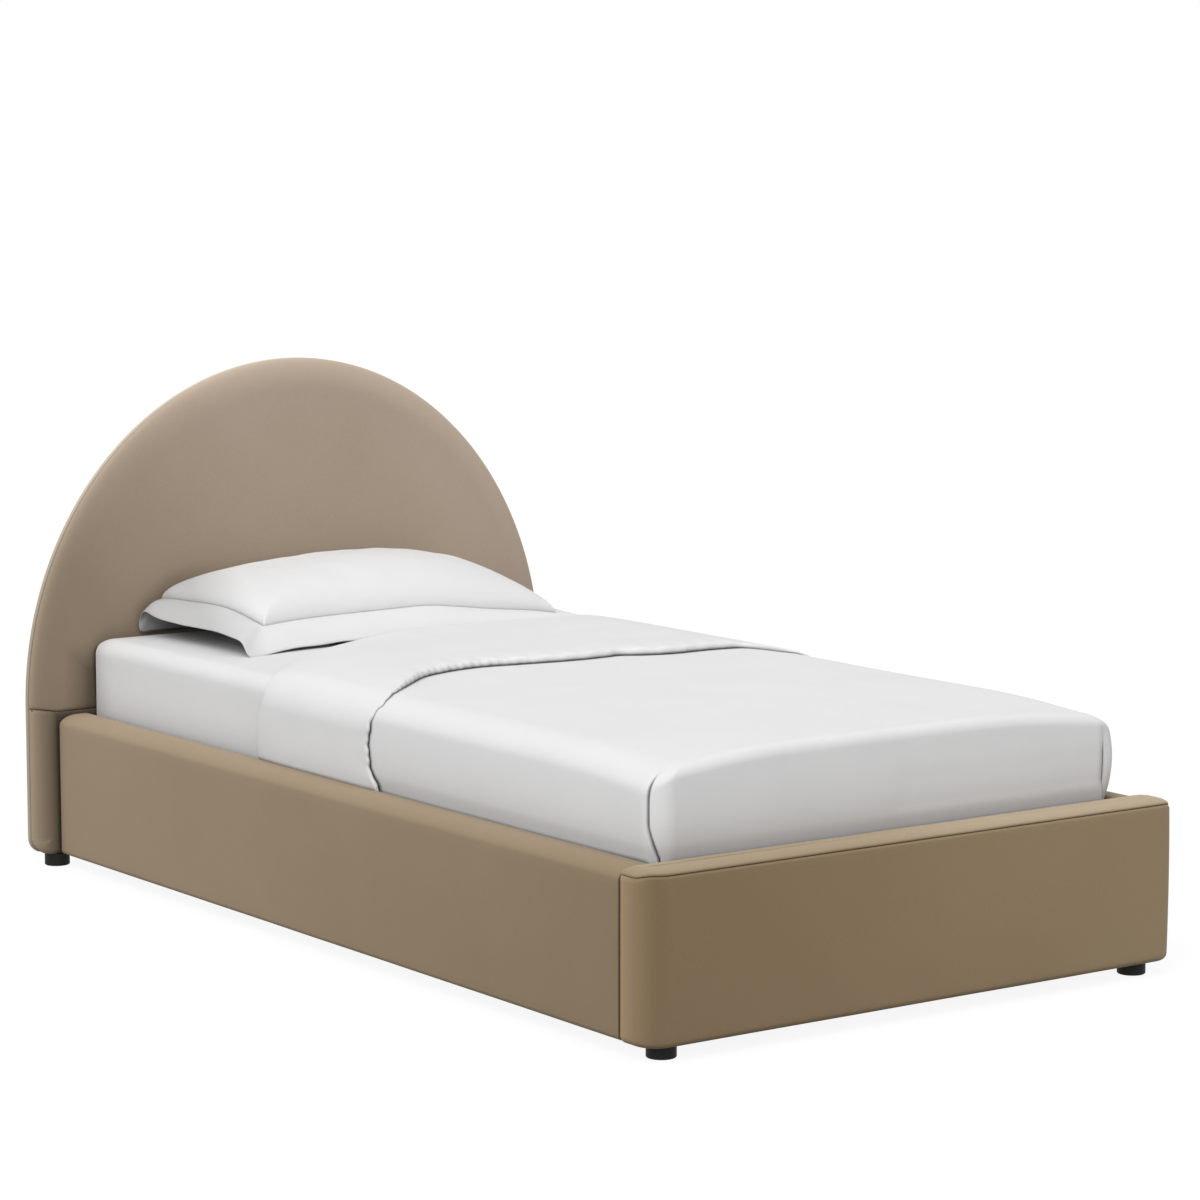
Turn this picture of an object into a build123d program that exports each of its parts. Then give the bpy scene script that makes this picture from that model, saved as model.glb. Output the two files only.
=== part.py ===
from build123d import *
import os

# A single upholstered platform bed with a half-moon headboard, made up with a mattress,
# a fitted sheet, a duvet with its head end turned down, and one pillow.
# The origin lies on the floor under the middle of the bed, +Y runs to the headboard and +Z up.
# All lengths are millimetres.

# Headboard sizes
headboard_overhang = 46.9
headboard_depth = 55.0
arch_spring_height = 322.0
arch_rise = 672.0
arch_top_share = 1.0377
headboard_corner_radius = 30.0
headboard_roll_radius = 26.0
headboard_edge_padding = 8.4
headboard_band_depth = 17.0
headboard_seam_height = 312.0
headboard_seam_groove_depth = 7.0
headboard_seam_groove_width = 18.0
headboard_panel_thickness = 12.0
headboard_strip_depth = 18.0
headboard_strip_width = 56.0
headboard_post_width = 90.0
headboard_post_top = 640.0
headboard_foot_block_width = 62.0
headboard_foot_block_height = 60.0
arch_strip_count = 6
strip_joint_gap = 0.5
back_cloth_thickness = 1.0

# Sizes that the whole upholstered frame shares
ground_clearance = 25.0
rail_height = 281.0
cover_thickness = 1.6

# Side rail sizes
side_rail_thickness = 68.6
side_rail_board_thickness = 44.0
side_rail_top_padding = 12.0
side_rail_shoulder_radius = 22.0
side_rail_inner_radius = 10.0
side_rail_end_radius = 9.0

# Footboard sizes
footboard_overhang = 5.0
footboard_thickness = 81.0
footboard_corner_radius = 45.0
footboard_edge_radius = 9.0
footboard_padding = 12.0
footboard_board_thickness = 15.0
footboard_seam_drop = 7.0
footboard_block_length = 76.0
footboard_rib_width = 40.0
footboard_rib_count = 2

# Corner brackets, bolts and screws
bracket_thickness = 3.0
bracket_leg = 58.0
bracket_height = 80.0
bracket_top_gap = 2.7
bolt_radius = 4.0
bolt_head_radius = 7.5
bolt_head_height = 4.5
bolt_hole_clearance = 0.5
nut_radius = 9.0
nut_thickness = 6.0
thread_clearance = 0.1
screw_radius = 2.0
screw_head_radius = 4.0
screw_head_height = 2.2
screw_length = 30.0
screw_edge_distance = 14.0

# Slat base sizes
slat_top_height = 204.7
slat_thickness = 15.0
slat_width = 70.0
slat_count = 13
slat_edge_radius = 3.0
slat_end_gap = 7.0
slat_first_gap = 32.0
webbing_width = 38.0
webbing_thickness = 1.2
webbing_spread = 640.0
ledger_width = 26.0
ledger_height = 40.0
ledger_end_gap = 3.0
centre_rail_width = 44.0
centre_rail_height = 62.0
hanger_thickness = 3.0
hanger_flange = 28.0
hanger_depth = 40.0
hanger_height = 50.0
hanger_head_screw_length = 38.0
hanger_foot_screw_length = 16.0

# Centre leg and leveller sizes
leg_side = 42.0
leg_edge_radius = 4.0
leg_spacing = 620.0
leveller_pad_radius = 17.0
leveller_pad_height = 6.0
leveller_collar_height = 4.0
leveller_collar_radius = 8.0
leveller_stud_radius = 4.0
leveller_stud_length = 34.0
leveller_bore_clearance = 0.25
leveller_bore_margin = 2.0

# Foot sizes
foot_radius = 25.0
foot_edge_bevel = 1.5
front_foot_inset = 61.6
front_foot_setback = 51.0
head_foot_inset = 53.0
foot_screw_radius = 3.0
foot_screw_head_radius = 7.0
foot_screw_head_height = 4.0
foot_screw_grip = 32.0
foot_recess_radius = 8.0
foot_recess_depth = 10.0

# Bedding sizes
soft_clearance = 0.3
mattress_width = 970.0
mattress_length = 1890.0
mattress_height = 248.0
mattress_corner_radius = 60.0
mattress_edge_radius = 30.0
mattress_head_gap = 4.5
mattress_foot_gap = 15.5
mattress_side_gap = 15.0
sheet_thickness = 1.0
sheet_tuck = 120.0
duvet_side_thickness = 11.4
duvet_top_thickness = 14.0
duvet_hem_height = 262.0
duvet_edge_radius = 26.0
duvet_corner_radius = 44.0
duvet_fold_thickness = 6.0
turndown_rise = 27.0
turndown_edge_radius = 36.0
pillow_width = 716.0
pillow_depth = 345.0
pillow_thickness = 158.0
pillow_seam_front_height = 46.0
pillow_seam_back_height = 88.0
pillow_offset = 45.0
pillow_head_gap = 8.0
pillow_flange = 52.0
pillow_flange_thickness = 2.4
pillow_flange_head_gap = 2.0
sham_thickness = 1.2

# One overrun serves every cut
overrun = 5.0
half_turn = 180

# Places that follow from the sizes
rail_length = mattress_head_gap + mattress_length + mattress_foot_gap
bed_length = headboard_depth + rail_length + footboard_thickness
back_face = bed_length / 2
head_face = back_face - headboard_depth
foot_face = head_face - rail_length
front_face = foot_face - footboard_thickness
rail_top = ground_clearance + rail_height
rail_inside = mattress_width / 2 + mattress_side_gap
rail_outside = rail_inside + side_rail_thickness
headboard_half_width = rail_outside + headboard_overhang
footboard_half_width = rail_outside + footboard_overhang
board_inside = rail_inside + cover_thickness
board_bottom = ground_clearance + cover_thickness
board_top = rail_top - cover_thickness - side_rail_top_padding
slat_bottom = slat_top_height - slat_thickness
ledger_bottom = slat_bottom - ledger_height
bracket_bottom = ledger_bottom - bracket_top_gap - bracket_height
centre_rail_bottom = slat_bottom - centre_rail_height
leg_bottom = leveller_pad_height + leveller_collar_height
middle_of_rails = (head_face + foot_face) / 2
mattress_bottom = slat_top_height + soft_clearance + sheet_thickness
mattress_top = mattress_bottom + mattress_height
mattress_head = head_face - mattress_head_gap
mattress_foot = mattress_head - mattress_length
sheet_top = mattress_top + sheet_thickness
duvet_gap = sheet_thickness + soft_clearance
duvet_top = sheet_top + soft_clearance + duvet_top_thickness
duvet_half_width = mattress_width / 2 + duvet_gap + duvet_side_thickness
pillow_rest = sheet_top + soft_clearance

nodes = {}


def block(low, high):
    """A box between its lowest and its highest corner."""
    size = [high[i] - low[i] for i in range(3)]
    middle = [(high[i] + low[i]) / 2 for i in range(3)]
    return Pos(*middle) * Box(*size)


def rod(start, direction, radius, length):
    """A round bar from a point, along a direction."""
    base = Plane(origin=start, z_dir=direction)
    return base * Cylinder(radius, length, align=(Align.CENTER, Align.CENTER, Align.MIN))


def both_sides(shape):
    """A piece on the right of the bed and its mirror image on the left."""
    return [shape, mirror(shape, about=Plane.YZ)]


def group(solids):
    """Like pieces that share one node."""
    return Compound([solid for shape in solids for solid in shape.solids()])


def both_ends(shapes):
    """Pieces at the head end of the rails and their mirror images at the foot end."""
    across_middle = Plane(origin=(0, middle_of_rails, 0), z_dir=(0, 1, 0))
    return shapes + [mirror(shape, about=across_middle) for shape in shapes]


def cut_all(shape, cutters):
    """A piece with every one of the cutters taken out of it."""
    for cutter in cutters:
        shape = shape - cutter
    return shape


def screw(start, direction, length):
    """A pan-head wood screw: start is the point under its head."""
    back = [-part for part in direction]
    return rod(start, direction, screw_radius, length) + rod(start, back, screw_head_radius, screw_head_height)


def screw_hole(start, direction, length):
    """The hole that a wood screw cuts for itself."""
    return rod(start, direction, screw_radius + thread_clearance, length + thread_clearance)


def facing_foot(depth_from_back):
    """The upright plane at a distance in front of the bed's back, looking towards the foot."""
    return Plane(origin=(0, back_face - depth_from_back, 0), x_dir=(1, 0, 0), z_dir=(0, -1, 0))


# Headboard

def half_moon(inset):
    """The headboard's outline, drawn in by inset: straight sides, then an arch of three arcs that meet smoothly.

    The top arc's radius is a share of half width squared over rise. A side arc starts upright at the spring,
    and runs to the joint, which lies on the line through its own centre and the top arc's.
    """
    half = headboard_half_width - inset
    low = ground_clearance + inset
    top_radius = arch_top_share * headboard_half_width * headboard_half_width / arch_rise
    lift = arch_rise - top_radius
    side_radius = (top_radius * top_radius - headboard_half_width * headboard_half_width - lift * lift) / (
        2 * (top_radius - headboard_half_width))
    reach = (top_radius - inset) / (side_radius - top_radius)
    joint = (reach * (side_radius - headboard_half_width), arch_spring_height + lift + reach * lift)
    crest = (0, arch_spring_height + arch_rise - inset)
    right_arc = TangentArc((half, arch_spring_height), joint, tangent=(0, 1))
    left_arc = TangentArc((-half, arch_spring_height), (-joint[0], joint[1]), tangent=(0, 1))
    top_arc = ThreePointArc(joint, crest, (-joint[0], joint[1]))
    sides = Polyline((-half, arch_spring_height), (-half, low), (half, low), (half, arch_spring_height))
    face = make_face([right_arc, top_arc, left_arc, sides])
    corners = face.vertices().sort_by(Axis.Y)[:2]
    return fillet(corners, max(headboard_corner_radius - inset, cover_thickness))


def half_moon_slab(inset, start, depth):
    """The outline as a slab that starts at a depth from the bed's back."""
    return extrude(facing_foot(start) * half_moon(inset), depth)


def padded_front(inset, groove_growth):
    """The stuffed headboard: a slab with a rolled front edge and a pressed seam across it."""
    slab = half_moon_slab(inset, back_cloth_thickness, headboard_depth - back_cloth_thickness - inset)
    front = slab.faces().sort_by(Axis.Y)[0]
    slab = fillet(front.edges(), headboard_roll_radius - inset)
    front_y = head_face + inset
    half_groove = headboard_seam_groove_width / 2 + groove_growth
    groove_bottom = front_y + headboard_seam_groove_depth + groove_growth
    profile = Polyline(
        (front_y - overrun, headboard_seam_height - half_groove),
        (front_y, headboard_seam_height - half_groove),
        (groove_bottom, headboard_seam_height),
        (front_y, headboard_seam_height + half_groove),
        (front_y - overrun, headboard_seam_height + half_groove),
        close=True,
    )
    groove = extrude(Plane.YZ * make_face(profile), headboard_half_width + overrun, both=True)
    return slab - groove


def headboard_foot_blocks(inner_form):
    """The timber blocks over the head feet, planed to the padding's shape, drilled for the feet."""
    half_block = headboard_foot_block_width / 2
    raw = block(
        (head_foot_across - half_block, head_face, board_bottom),
        (head_foot_across + half_block, back_face - back_cloth_thickness, board_bottom + headboard_foot_block_height),
    )
    front_trim = block(
        (0, head_face, 0),
        (headboard_half_width, head_face + cover_thickness + headboard_seam_groove_depth, rail_top),
    )
    return both_sides((raw & inner_form) - front_trim)


def headboard_posts(foot_blocks, panel_inset):
    """The two upright posts behind the panel that take the bracket bolts, kept inside the panel's outline."""
    low = board_bottom + headboard_edge_padding
    start = back_cloth_thickness + headboard_strip_depth
    right = block(
        (bolt_across - headboard_post_width / 2, back_face - start, low),
        (bolt_across + headboard_post_width / 2, back_face - back_cloth_thickness, headboard_post_top),
    )
    right &= half_moon_slab(panel_inset, back_cloth_thickness, headboard_strip_depth)
    return both_sides(cut_all(right, foot_blocks))


def headboard_strips(panel_inset, cutters):
    """Ply strips that build up the panel's edge: segments of the arch, and the two sides and the bottom."""
    ring = half_moon_slab(panel_inset, back_cloth_thickness, headboard_strip_depth)
    ring -= half_moon_slab(panel_inset + headboard_strip_width, 0, headboard_depth)
    centre = (0, arch_spring_height)
    turn = half_turn / arch_strip_count
    segments = []
    for index in range(arch_strip_count):
        rim = CenterArc(centre, 2 * headboard_half_width, index * turn, turn)
        sector = make_face([rim, Line(rim @ 1, centre), Line(centre, rim @ 0)])
        sector = offset(sector, -strip_joint_gap / 2)
        segments.append(ring & extrude(facing_foot(0) * sector, headboard_depth))
    below_arch = block(
        (-headboard_half_width, head_face, ground_clearance),
        (headboard_half_width, back_face, arch_spring_height - strip_joint_gap),
    )
    segments.append(ring & below_arch)
    return group([cut_all(solid, cutters) for solid in group(segments).solids()])


def make_headboard():
    """Ply half-moon with strips and posts behind it, foam over it, and a cover sewn from three pieces."""
    panel_inset = cover_thickness + headboard_edge_padding
    panel_start = back_cloth_thickness + headboard_strip_depth
    inner_form = padded_front(cover_thickness, cover_thickness)
    bolt_holes = []
    nut_seats = []
    for up in bolt_heights:
        hole = rod(
            (bolt_across, head_face - overrun, up), (0, 1, 0), bolt_radius + bolt_hole_clearance,
            headboard_depth - back_cloth_thickness + overrun,
        )
        seat = rod(
            (bolt_across, back_face - back_cloth_thickness, up), (0, -1, 0), nut_radius + bolt_hole_clearance,
            nut_thickness + bolt_hole_clearance,
        )
        bolt_holes += both_sides(hole)
        nut_seats += both_sides(seat)
    foot_blocks = [cut_all(piece, bolt_holes + nut_seats) for piece in headboard_foot_blocks(inner_form)]
    posts = headboard_posts(foot_blocks, panel_inset)
    strips = headboard_strips(panel_inset, posts + foot_blocks)
    panel = half_moon_slab(panel_inset, panel_start, headboard_panel_thickness)
    core = half_moon_slab(panel_inset, back_cloth_thickness, headboard_strip_depth + headboard_panel_thickness)
    foam = inner_form - core
    shell = padded_front(0, 0) - inner_form

    foot_holes = both_sides(foot_screw_hole(head_foot_across, head_foot_y))
    hanger_holes = both_sides(
        screw_hole((hanger_screw_across, head_face - hanger_thickness, hanger_screw_height), (0, 1, 0),
                   hanger_head_screw_length)
    )
    through = bolt_holes + hanger_holes
    above_seam = block(
        (-2 * headboard_half_width, head_face - overrun, headboard_seam_height),
        (2 * headboard_half_width, back_face - headboard_band_depth, headboard_seam_height + 2 * headboard_half_width),
    )
    below_seam = block(
        (-2 * headboard_half_width, head_face - overrun, 0),
        (2 * headboard_half_width, back_face - headboard_band_depth, headboard_seam_height),
    )
    behind_band_seam = block(
        (-2 * headboard_half_width, back_face - headboard_band_depth, 0),
        (2 * headboard_half_width, back_face + overrun, headboard_seam_height + 2 * headboard_half_width),
    )
    nodes["headboard_panel"] = cut_all(panel, foot_blocks + through)
    nodes["headboard_posts"] = group([cut_all(post, bolt_holes + nut_seats) for post in posts])
    nodes["headboard_strips"] = strips
    nodes["headboard_foot_blocks"] = group([cut_all(piece, foot_holes) for piece in foot_blocks])
    nodes["headboard_foam"] = cut_all(foam, foot_blocks + through)
    nodes["headboard_upper_cover"] = shell & above_seam
    nodes["headboard_lower_cover"] = cut_all(shell & below_seam, through + foot_holes)
    nodes["headboard_edge_band"] = cut_all(shell & behind_band_seam, foot_holes)
    nodes["headboard_back_cloth"] = half_moon_slab(cover_thickness, 0, back_cloth_thickness)


# Side rails

def side_rail_form(inset):
    """The right rail's outside: a long box with a rounded shoulder and softly turned ends."""
    form = block(
        (rail_inside + inset, foot_face + inset, ground_clearance + inset),
        (rail_outside - inset, head_face - inset, rail_top - inset),
    )
    long_edges = form.edges().filter_by(Axis.Y).sort_by(Axis.X)
    outer_edges = long_edges[2:].sort_by(Axis.Z)
    form = fillet(outer_edges[1], side_rail_shoulder_radius - inset)
    long_edges = form.edges().filter_by(Axis.Y)
    form = fillet(long_edges.sort_by(Axis.X)[:2], side_rail_inner_radius - inset)
    ends = form.faces().filter_by(Axis.Y)
    return fillet(ends.edges(), side_rail_end_radius - inset)


def make_side_rails():
    """On each side a timber board, foam round three of its sides, a velvet sleeve and a slat ledger."""
    outside = side_rail_form(0)
    inside = side_rail_form(cover_thickness)
    board = inside & block(
        (board_inside, foot_face, board_bottom),
        (board_inside + side_rail_board_thickness, head_face, board_top),
    )
    ledger = block(
        (rail_inside - ledger_width, foot_face + ledger_end_gap, ledger_bottom),
        (rail_inside, head_face - ledger_end_gap, slat_bottom),
    )
    bracket_holes = []
    for y in bracket_screw_places:
        for z in bracket_screw_heights:
            bracket_holes.append(screw_hole((rail_inside - bracket_thickness, y, z), (1, 0, 0), screw_length))
    slat_holes = [screw_hole((slat_screw_across, y, slat_top_height), (0, 0, -1), screw_length) for y in end_slats]
    pieces = {
        "board": cut_all(board, bracket_holes),
        "padding": inside - board,
        "cover": cut_all(outside - inside, bracket_holes),
        "ledger": cut_all(ledger, slat_holes),
    }
    for part, right in pieces.items():
        left = mirror(right, about=Plane.YZ)
        nodes[f"side_rail_{part}_right"] = right
        nodes[f"side_rail_{part}_left"] = left


# Footboard

def footboard_form(inset, padding_front, padding_top):
    """The footboard's outside, with round upright corners at the front."""
    side = inset + padding_front
    form = block(
        (-footboard_half_width + side, front_face + side, ground_clearance + inset),
        (footboard_half_width - side, foot_face - inset, rail_top - inset - padding_top),
    )
    upright = form.edges().filter_by(Axis.Z).sort_by(Axis.Y)
    return fillet(upright[:2], footboard_corner_radius - side)


def footboard_skin_form(inset):
    """The footboard's outside with its top and bottom rims eased."""
    form = footboard_form(inset, 0, 0)
    levels = form.faces().filter_by(Axis.Z)
    return fillet(levels.edges(), footboard_edge_radius - inset)


def make_footboard():
    """A hollow ply box with round corner blocks, foam in front and on top, and a cover of two pieces."""
    inside = footboard_skin_form(cover_thickness)
    core = footboard_form(cover_thickness, footboard_padding, footboard_padding)
    half_core = footboard_half_width - cover_thickness - footboard_padding
    core_front = front_face + cover_thickness + footboard_padding
    core_back = foot_face - cover_thickness
    core_top = rail_top - cover_thickness - footboard_padding
    back_board = core & inside & block(
        (-half_core, core_back - footboard_board_thickness, ground_clearance), (half_core, core_back, core_top)
    )
    block_reach = half_core - footboard_block_length
    front_board = core & inside & block(
        (-block_reach, core_front, ground_clearance),
        (block_reach, core_front + footboard_board_thickness, core_top),
    )
    right_block = core & inside & block(
        (block_reach, core_front - overrun, ground_clearance),
        (half_core, core_back - footboard_board_thickness, core_top),
    )
    cavity_front = core_front + footboard_board_thickness
    cavity_back = core_back - footboard_board_thickness
    top_strip = block(
        (-block_reach, cavity_front, core_top - footboard_board_thickness), (block_reach, cavity_back, core_top)
    )
    ribs = []
    rib_pitch = 2 * block_reach / (footboard_rib_count + 1)
    for index in range(footboard_rib_count):
        middle = -block_reach + (index + 1) * rib_pitch
        ribs.append(block(
            (middle - footboard_rib_width / 2, cavity_front, board_bottom),
            (middle + footboard_rib_width / 2, cavity_back, core_top - footboard_board_thickness),
        ))
    bolt_holes = []
    for up in bolt_heights:
        hole = rod(
            (bolt_across, foot_face + overrun, up), (0, -1, 0), bolt_radius + bolt_hole_clearance,
            overrun + cover_thickness + footboard_board_thickness + overrun,
        )
        bolt_holes += both_sides(hole)
    hanger_holes = both_sides(
        screw_hole((hanger_screw_across, foot_face + hanger_thickness, hanger_screw_height), (0, -1, 0),
                   hanger_foot_screw_length)
    )
    foot_hole = foot_screw_hole(front_foot_across, front_foot_y)
    shell = footboard_skin_form(0) - inside
    above_seam = block(
        (-2 * footboard_half_width, front_face - overrun, rail_top - footboard_seam_drop),
        (2 * footboard_half_width, foot_face + overrun, rail_top + overrun),
    )
    inner_wall = block(
        (-2 * footboard_half_width, foot_face - cover_thickness, 0), (2 * footboard_half_width, foot_face + overrun, rail_top)
    )
    band = above_seam + inner_wall
    nodes["footboard_back_board"] = cut_all(back_board, bolt_holes + hanger_holes)
    nodes["footboard_front_board"] = front_board
    nodes["footboard_corner_blocks"] = group(both_sides(right_block - foot_hole))
    nodes["footboard_stiffeners"] = group(ribs + [top_strip])
    nodes["footboard_padding"] = inside - core
    nodes["footboard_front_cover"] = cut_all(shell - band, both_sides(foot_hole))
    nodes["footboard_top_cover"] = cut_all(shell & band, bolt_holes + hanger_holes)


# Corner brackets and their fixings

def corner_bracket():
    """A bent steel angle in the right head corner of the frame."""
    top = bracket_bottom + bracket_height
    on_rail = block(
        (rail_inside - bracket_thickness, head_face - bracket_leg, bracket_bottom), (rail_inside, head_face, top)
    )
    on_board = block(
        (rail_inside - bracket_leg, head_face - bracket_thickness, bracket_bottom), (rail_inside, head_face, top)
    )
    angle = on_rail + on_board
    bend = angle.edges().filter_by(Axis.Z).sort_by_distance(
        (rail_inside - bracket_thickness, head_face - bracket_thickness, bracket_bottom)
    )[0]
    angle = fillet(bend, bracket_thickness)
    for up in bolt_heights:
        angle -= rod(
            (bolt_across, head_face - bracket_thickness - overrun, up), (0, 1, 0),
            bolt_radius + bolt_hole_clearance, bracket_thickness + 2 * overrun,
        )
    for up in bracket_screw_heights:
        angle -= screw_hole(
            (rail_inside - bracket_thickness, head_face - bracket_screw_setback, up), (1, 0, 0), screw_length
        )
    return angle


def bolt(start, direction, length):
    """A flat-headed bolt: start is the point under its head."""
    back = [-part for part in direction]
    return rod(start, direction, bolt_radius, length) + rod(start, back, bolt_head_radius, bolt_head_height)


def nut(start, direction):
    """A round weld nut with its bore."""
    ring = rod(start, direction, nut_radius, nut_thickness)
    return ring - rod(start, direction, bolt_radius + thread_clearance, nut_thickness)


def make_fixings():
    """Four angles, two bolts with nuts through each, and two wood screws into each rail."""
    head_brackets = both_sides(corner_bracket())
    brackets = both_ends(head_brackets)
    bolts = []
    nuts = []
    foot_nut_start = foot_face - cover_thickness - footboard_board_thickness
    foot_bolt_length = bracket_thickness + cover_thickness + footboard_board_thickness + nut_thickness + bolt_radius
    for up in bolt_heights:
        bolts.append(bolt(
            (bolt_across, head_face - bracket_thickness, up), (0, 1, 0),
            bracket_thickness + headboard_depth - back_cloth_thickness,
        ))
        bolts.append(bolt((bolt_across, foot_face + bracket_thickness, up), (0, -1, 0), foot_bolt_length))
        nuts.append(nut((bolt_across, back_face - back_cloth_thickness, up), (0, -1, 0)))
        nuts.append(nut((bolt_across, foot_nut_start, up), (0, -1, 0)))
    screws = []
    for y in bracket_screw_places:
        for z in bracket_screw_heights:
            screws.append(screw((rail_inside - bracket_thickness, y, z), (1, 0, 0), screw_length))
    screws.append(screw(
        (hanger_screw_across, head_face - hanger_thickness, hanger_screw_height), (0, 1, 0), hanger_head_screw_length
    ))
    screws.append(screw(
        (hanger_screw_across, foot_face + hanger_thickness, hanger_screw_height), (0, -1, 0), hanger_foot_screw_length
    ))
    nodes["head_corner_brackets"] = group(brackets[:2])
    nodes["foot_corner_brackets"] = group(brackets[2:])
    nodes["bracket_bolts"] = group([piece for item in bolts for piece in both_sides(item)])
    nodes["bracket_nuts"] = group([piece for item in nuts for piece in both_sides(item)])
    nodes["bracket_screws"] = group([piece for item in screws for piece in both_sides(item)])


# Slats, centre rail and legs

def make_slats():
    """Pine slats with eased edges, tied by two webbing bands; the end ones are screwed to the ledgers."""
    reach = rail_inside - slat_end_gap
    for index, middle in enumerate(slat_middles):
        slat = block(
            (-reach, middle - slat_width / 2, slat_bottom), (reach, middle + slat_width / 2, slat_top_height)
        )
        slat = fillet(slat.edges().filter_by(Axis.X), slat_edge_radius)
        if middle in end_slats:
            seat = rod(
                (slat_screw_across, middle, slat_top_height + overrun), (0, 0, -1),
                screw_head_radius + thread_clearance, screw_head_height + overrun,
            )
            hole = screw_hole((slat_screw_across, middle, slat_top_height), (0, 0, -1), screw_length)
            slat = cut_all(slat, both_sides(seat) + both_sides(hole))
        nodes[f"slat_{index + 1:02d}"] = slat
    screws = []
    for middle in end_slats:
        start = (slat_screw_across, middle, slat_top_height - screw_head_height)
        screws += both_sides(screw(start, (0, 0, -1), screw_length - screw_head_height))
    band = block(
        (webbing_spread / 2 - webbing_width / 2, slat_middles[0] - slat_width / 2, slat_bottom - webbing_thickness),
        (webbing_spread / 2 + webbing_width / 2, slat_middles[-1] + slat_width / 2, slat_bottom),
    )
    nodes["slat_screws"] = group(screws)
    nodes["slat_webbing"] = group(both_sides(band))


def centre_rail_hanger():
    """The bent steel shoe that holds the centre rail against the headboard."""
    half = centre_rail_width / 2
    bottom = centre_rail_bottom - hanger_thickness
    top = bottom + hanger_height
    face_plate = block(
        (-half - hanger_thickness - hanger_flange, head_face - hanger_thickness, bottom),
        (half + hanger_thickness + hanger_flange, head_face, top),
    )
    shoe = block(
        (-half - hanger_thickness, head_face - hanger_depth, bottom), (half + hanger_thickness, head_face, top)
    )
    shoe -= block(
        (-half, head_face - hanger_depth - overrun, centre_rail_bottom),
        (half, head_face - hanger_thickness, top + overrun),
    )
    plate_corners = face_plate.edges().filter_by(Axis.Y)
    hanger = fillet(plate_corners, hanger_thickness) + shoe
    holes = both_sides(screw_hole(
        (hanger_screw_across, head_face - hanger_thickness, hanger_screw_height), (0, 1, 0), hanger_head_screw_length
    ))
    return cut_all(hanger, holes)


def make_centre_support():
    """A timber rail under the slats, its two steel shoes, and two legs with screw levellers."""
    rail = block(
        (-centre_rail_width / 2, foot_face + hanger_thickness, centre_rail_bottom),
        (centre_rail_width / 2, head_face - hanger_thickness, slat_bottom),
    )
    nodes["centre_rail"] = rail
    nodes["centre_rail_hangers"] = group(both_ends([centre_rail_hanger()]))
    half = leg_side / 2
    for name, y in leg_places.items():
        leg = block((-half, y - half, leg_bottom), (half, y + half, centre_rail_bottom))
        leg = fillet(leg.edges().filter_by(Axis.Z), leg_edge_radius)
        leg -= rod(
            (0, y, leg_bottom), (0, 0, 1), leveller_stud_radius + leveller_bore_clearance,
            leveller_stud_length + leveller_bore_margin,
        )
        pad = rod((0, y, 0), (0, 0, 1), leveller_pad_radius, leveller_pad_height)
        rim = pad.edges().sort_by(Axis.Z)[-1]
        pad = chamfer(rim, leveller_pad_height / 3)
        hexagon = Pos(0, y, leveller_pad_height) * RegularPolygon(leveller_collar_radius, 6)
        collar = extrude(hexagon, leveller_collar_height)
        stud = rod((0, y, leg_bottom), (0, 0, 1), leveller_stud_radius, leveller_stud_length)
        nodes[f"centre_leg_{name}"] = leg
        nodes[f"leveller_{name}"] = pad + collar + stud


# Feet

def foot_screw_hole(x, y):
    """The hole for a foot's screw, from under the floor line up into the timber."""
    height = ground_clearance + foot_screw_grip + foot_screw_head_height
    return rod((x, y, 0), (0, 0, 1), foot_screw_radius + thread_clearance, height)


def make_feet():
    """Four black discs, each held by one screw that sits in a recess under it."""
    places = {
        "foot_head_right": (head_foot_across, head_foot_y),
        "foot_head_left": (-head_foot_across, head_foot_y),
        "foot_front_right": (front_foot_across, front_foot_y),
        "foot_front_left": (-front_foot_across, front_foot_y),
    }
    screws = []
    for name, (x, y) in places.items():
        foot = rod((x, y, 0), (0, 0, 1), foot_radius, ground_clearance)
        foot = chamfer(foot.edges().sort_by(Axis.Z)[0], foot_edge_bevel)
        foot -= rod((x, y, 0), (0, 0, 1), foot_recess_radius, foot_recess_depth)
        foot -= foot_screw_hole(x, y)
        nodes[name] = foot
        shank = rod(
            (x, y, foot_recess_depth), (0, 0, 1), foot_screw_radius,
            ground_clearance + foot_screw_grip - foot_recess_depth,
        )
        head = rod((x, y, foot_recess_depth), (0, 0, -1), foot_screw_head_radius, foot_screw_head_height)
        screws.append(shank + head)
    nodes["foot_screws"] = group(screws)


# Mattress and fitted sheet

def mattress_form(growth):
    """The mattress with round corners and soft edges, grown outwards."""
    form = block(
        (-mattress_width / 2 - growth, mattress_foot - growth, mattress_bottom - growth),
        (mattress_width / 2 + growth, mattress_head + growth, mattress_top + growth),
    )
    form = fillet(form.edges().filter_by(Axis.Z), mattress_corner_radius + growth)
    levels = form.faces().filter_by(Axis.Z)
    return fillet(levels.edges(), mattress_edge_radius + growth)


def make_mattress():
    """A mattress and the fitted sheet that is stretched over it and tucked under its edges."""
    mattress = mattress_form(0)
    under = block(
        (-mattress_width / 2 + sheet_tuck, mattress_foot + sheet_tuck, mattress_bottom - sheet_thickness),
        (mattress_width / 2 - sheet_tuck, mattress_head - sheet_tuck, mattress_bottom),
    )
    nodes["mattress"] = mattress
    nodes["fitted_sheet"] = mattress_form(sheet_thickness) - mattress - under


# Duvet

# The head edge of the duvet, where it is folded back, seen from above: across as a share of the
# duvet's half width from left to right, and down the bed as a share of the mattress's length
fold_line_shares = [
    (-1.1, 0.372), (-0.98, 0.368), (-0.83, 0.324), (-0.67, 0.284), (-0.48, 0.242), (-0.34, 0.222),
    (0.03, 0.168), (0.5, 0.168), (1.1, 0.175),
]
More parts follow.
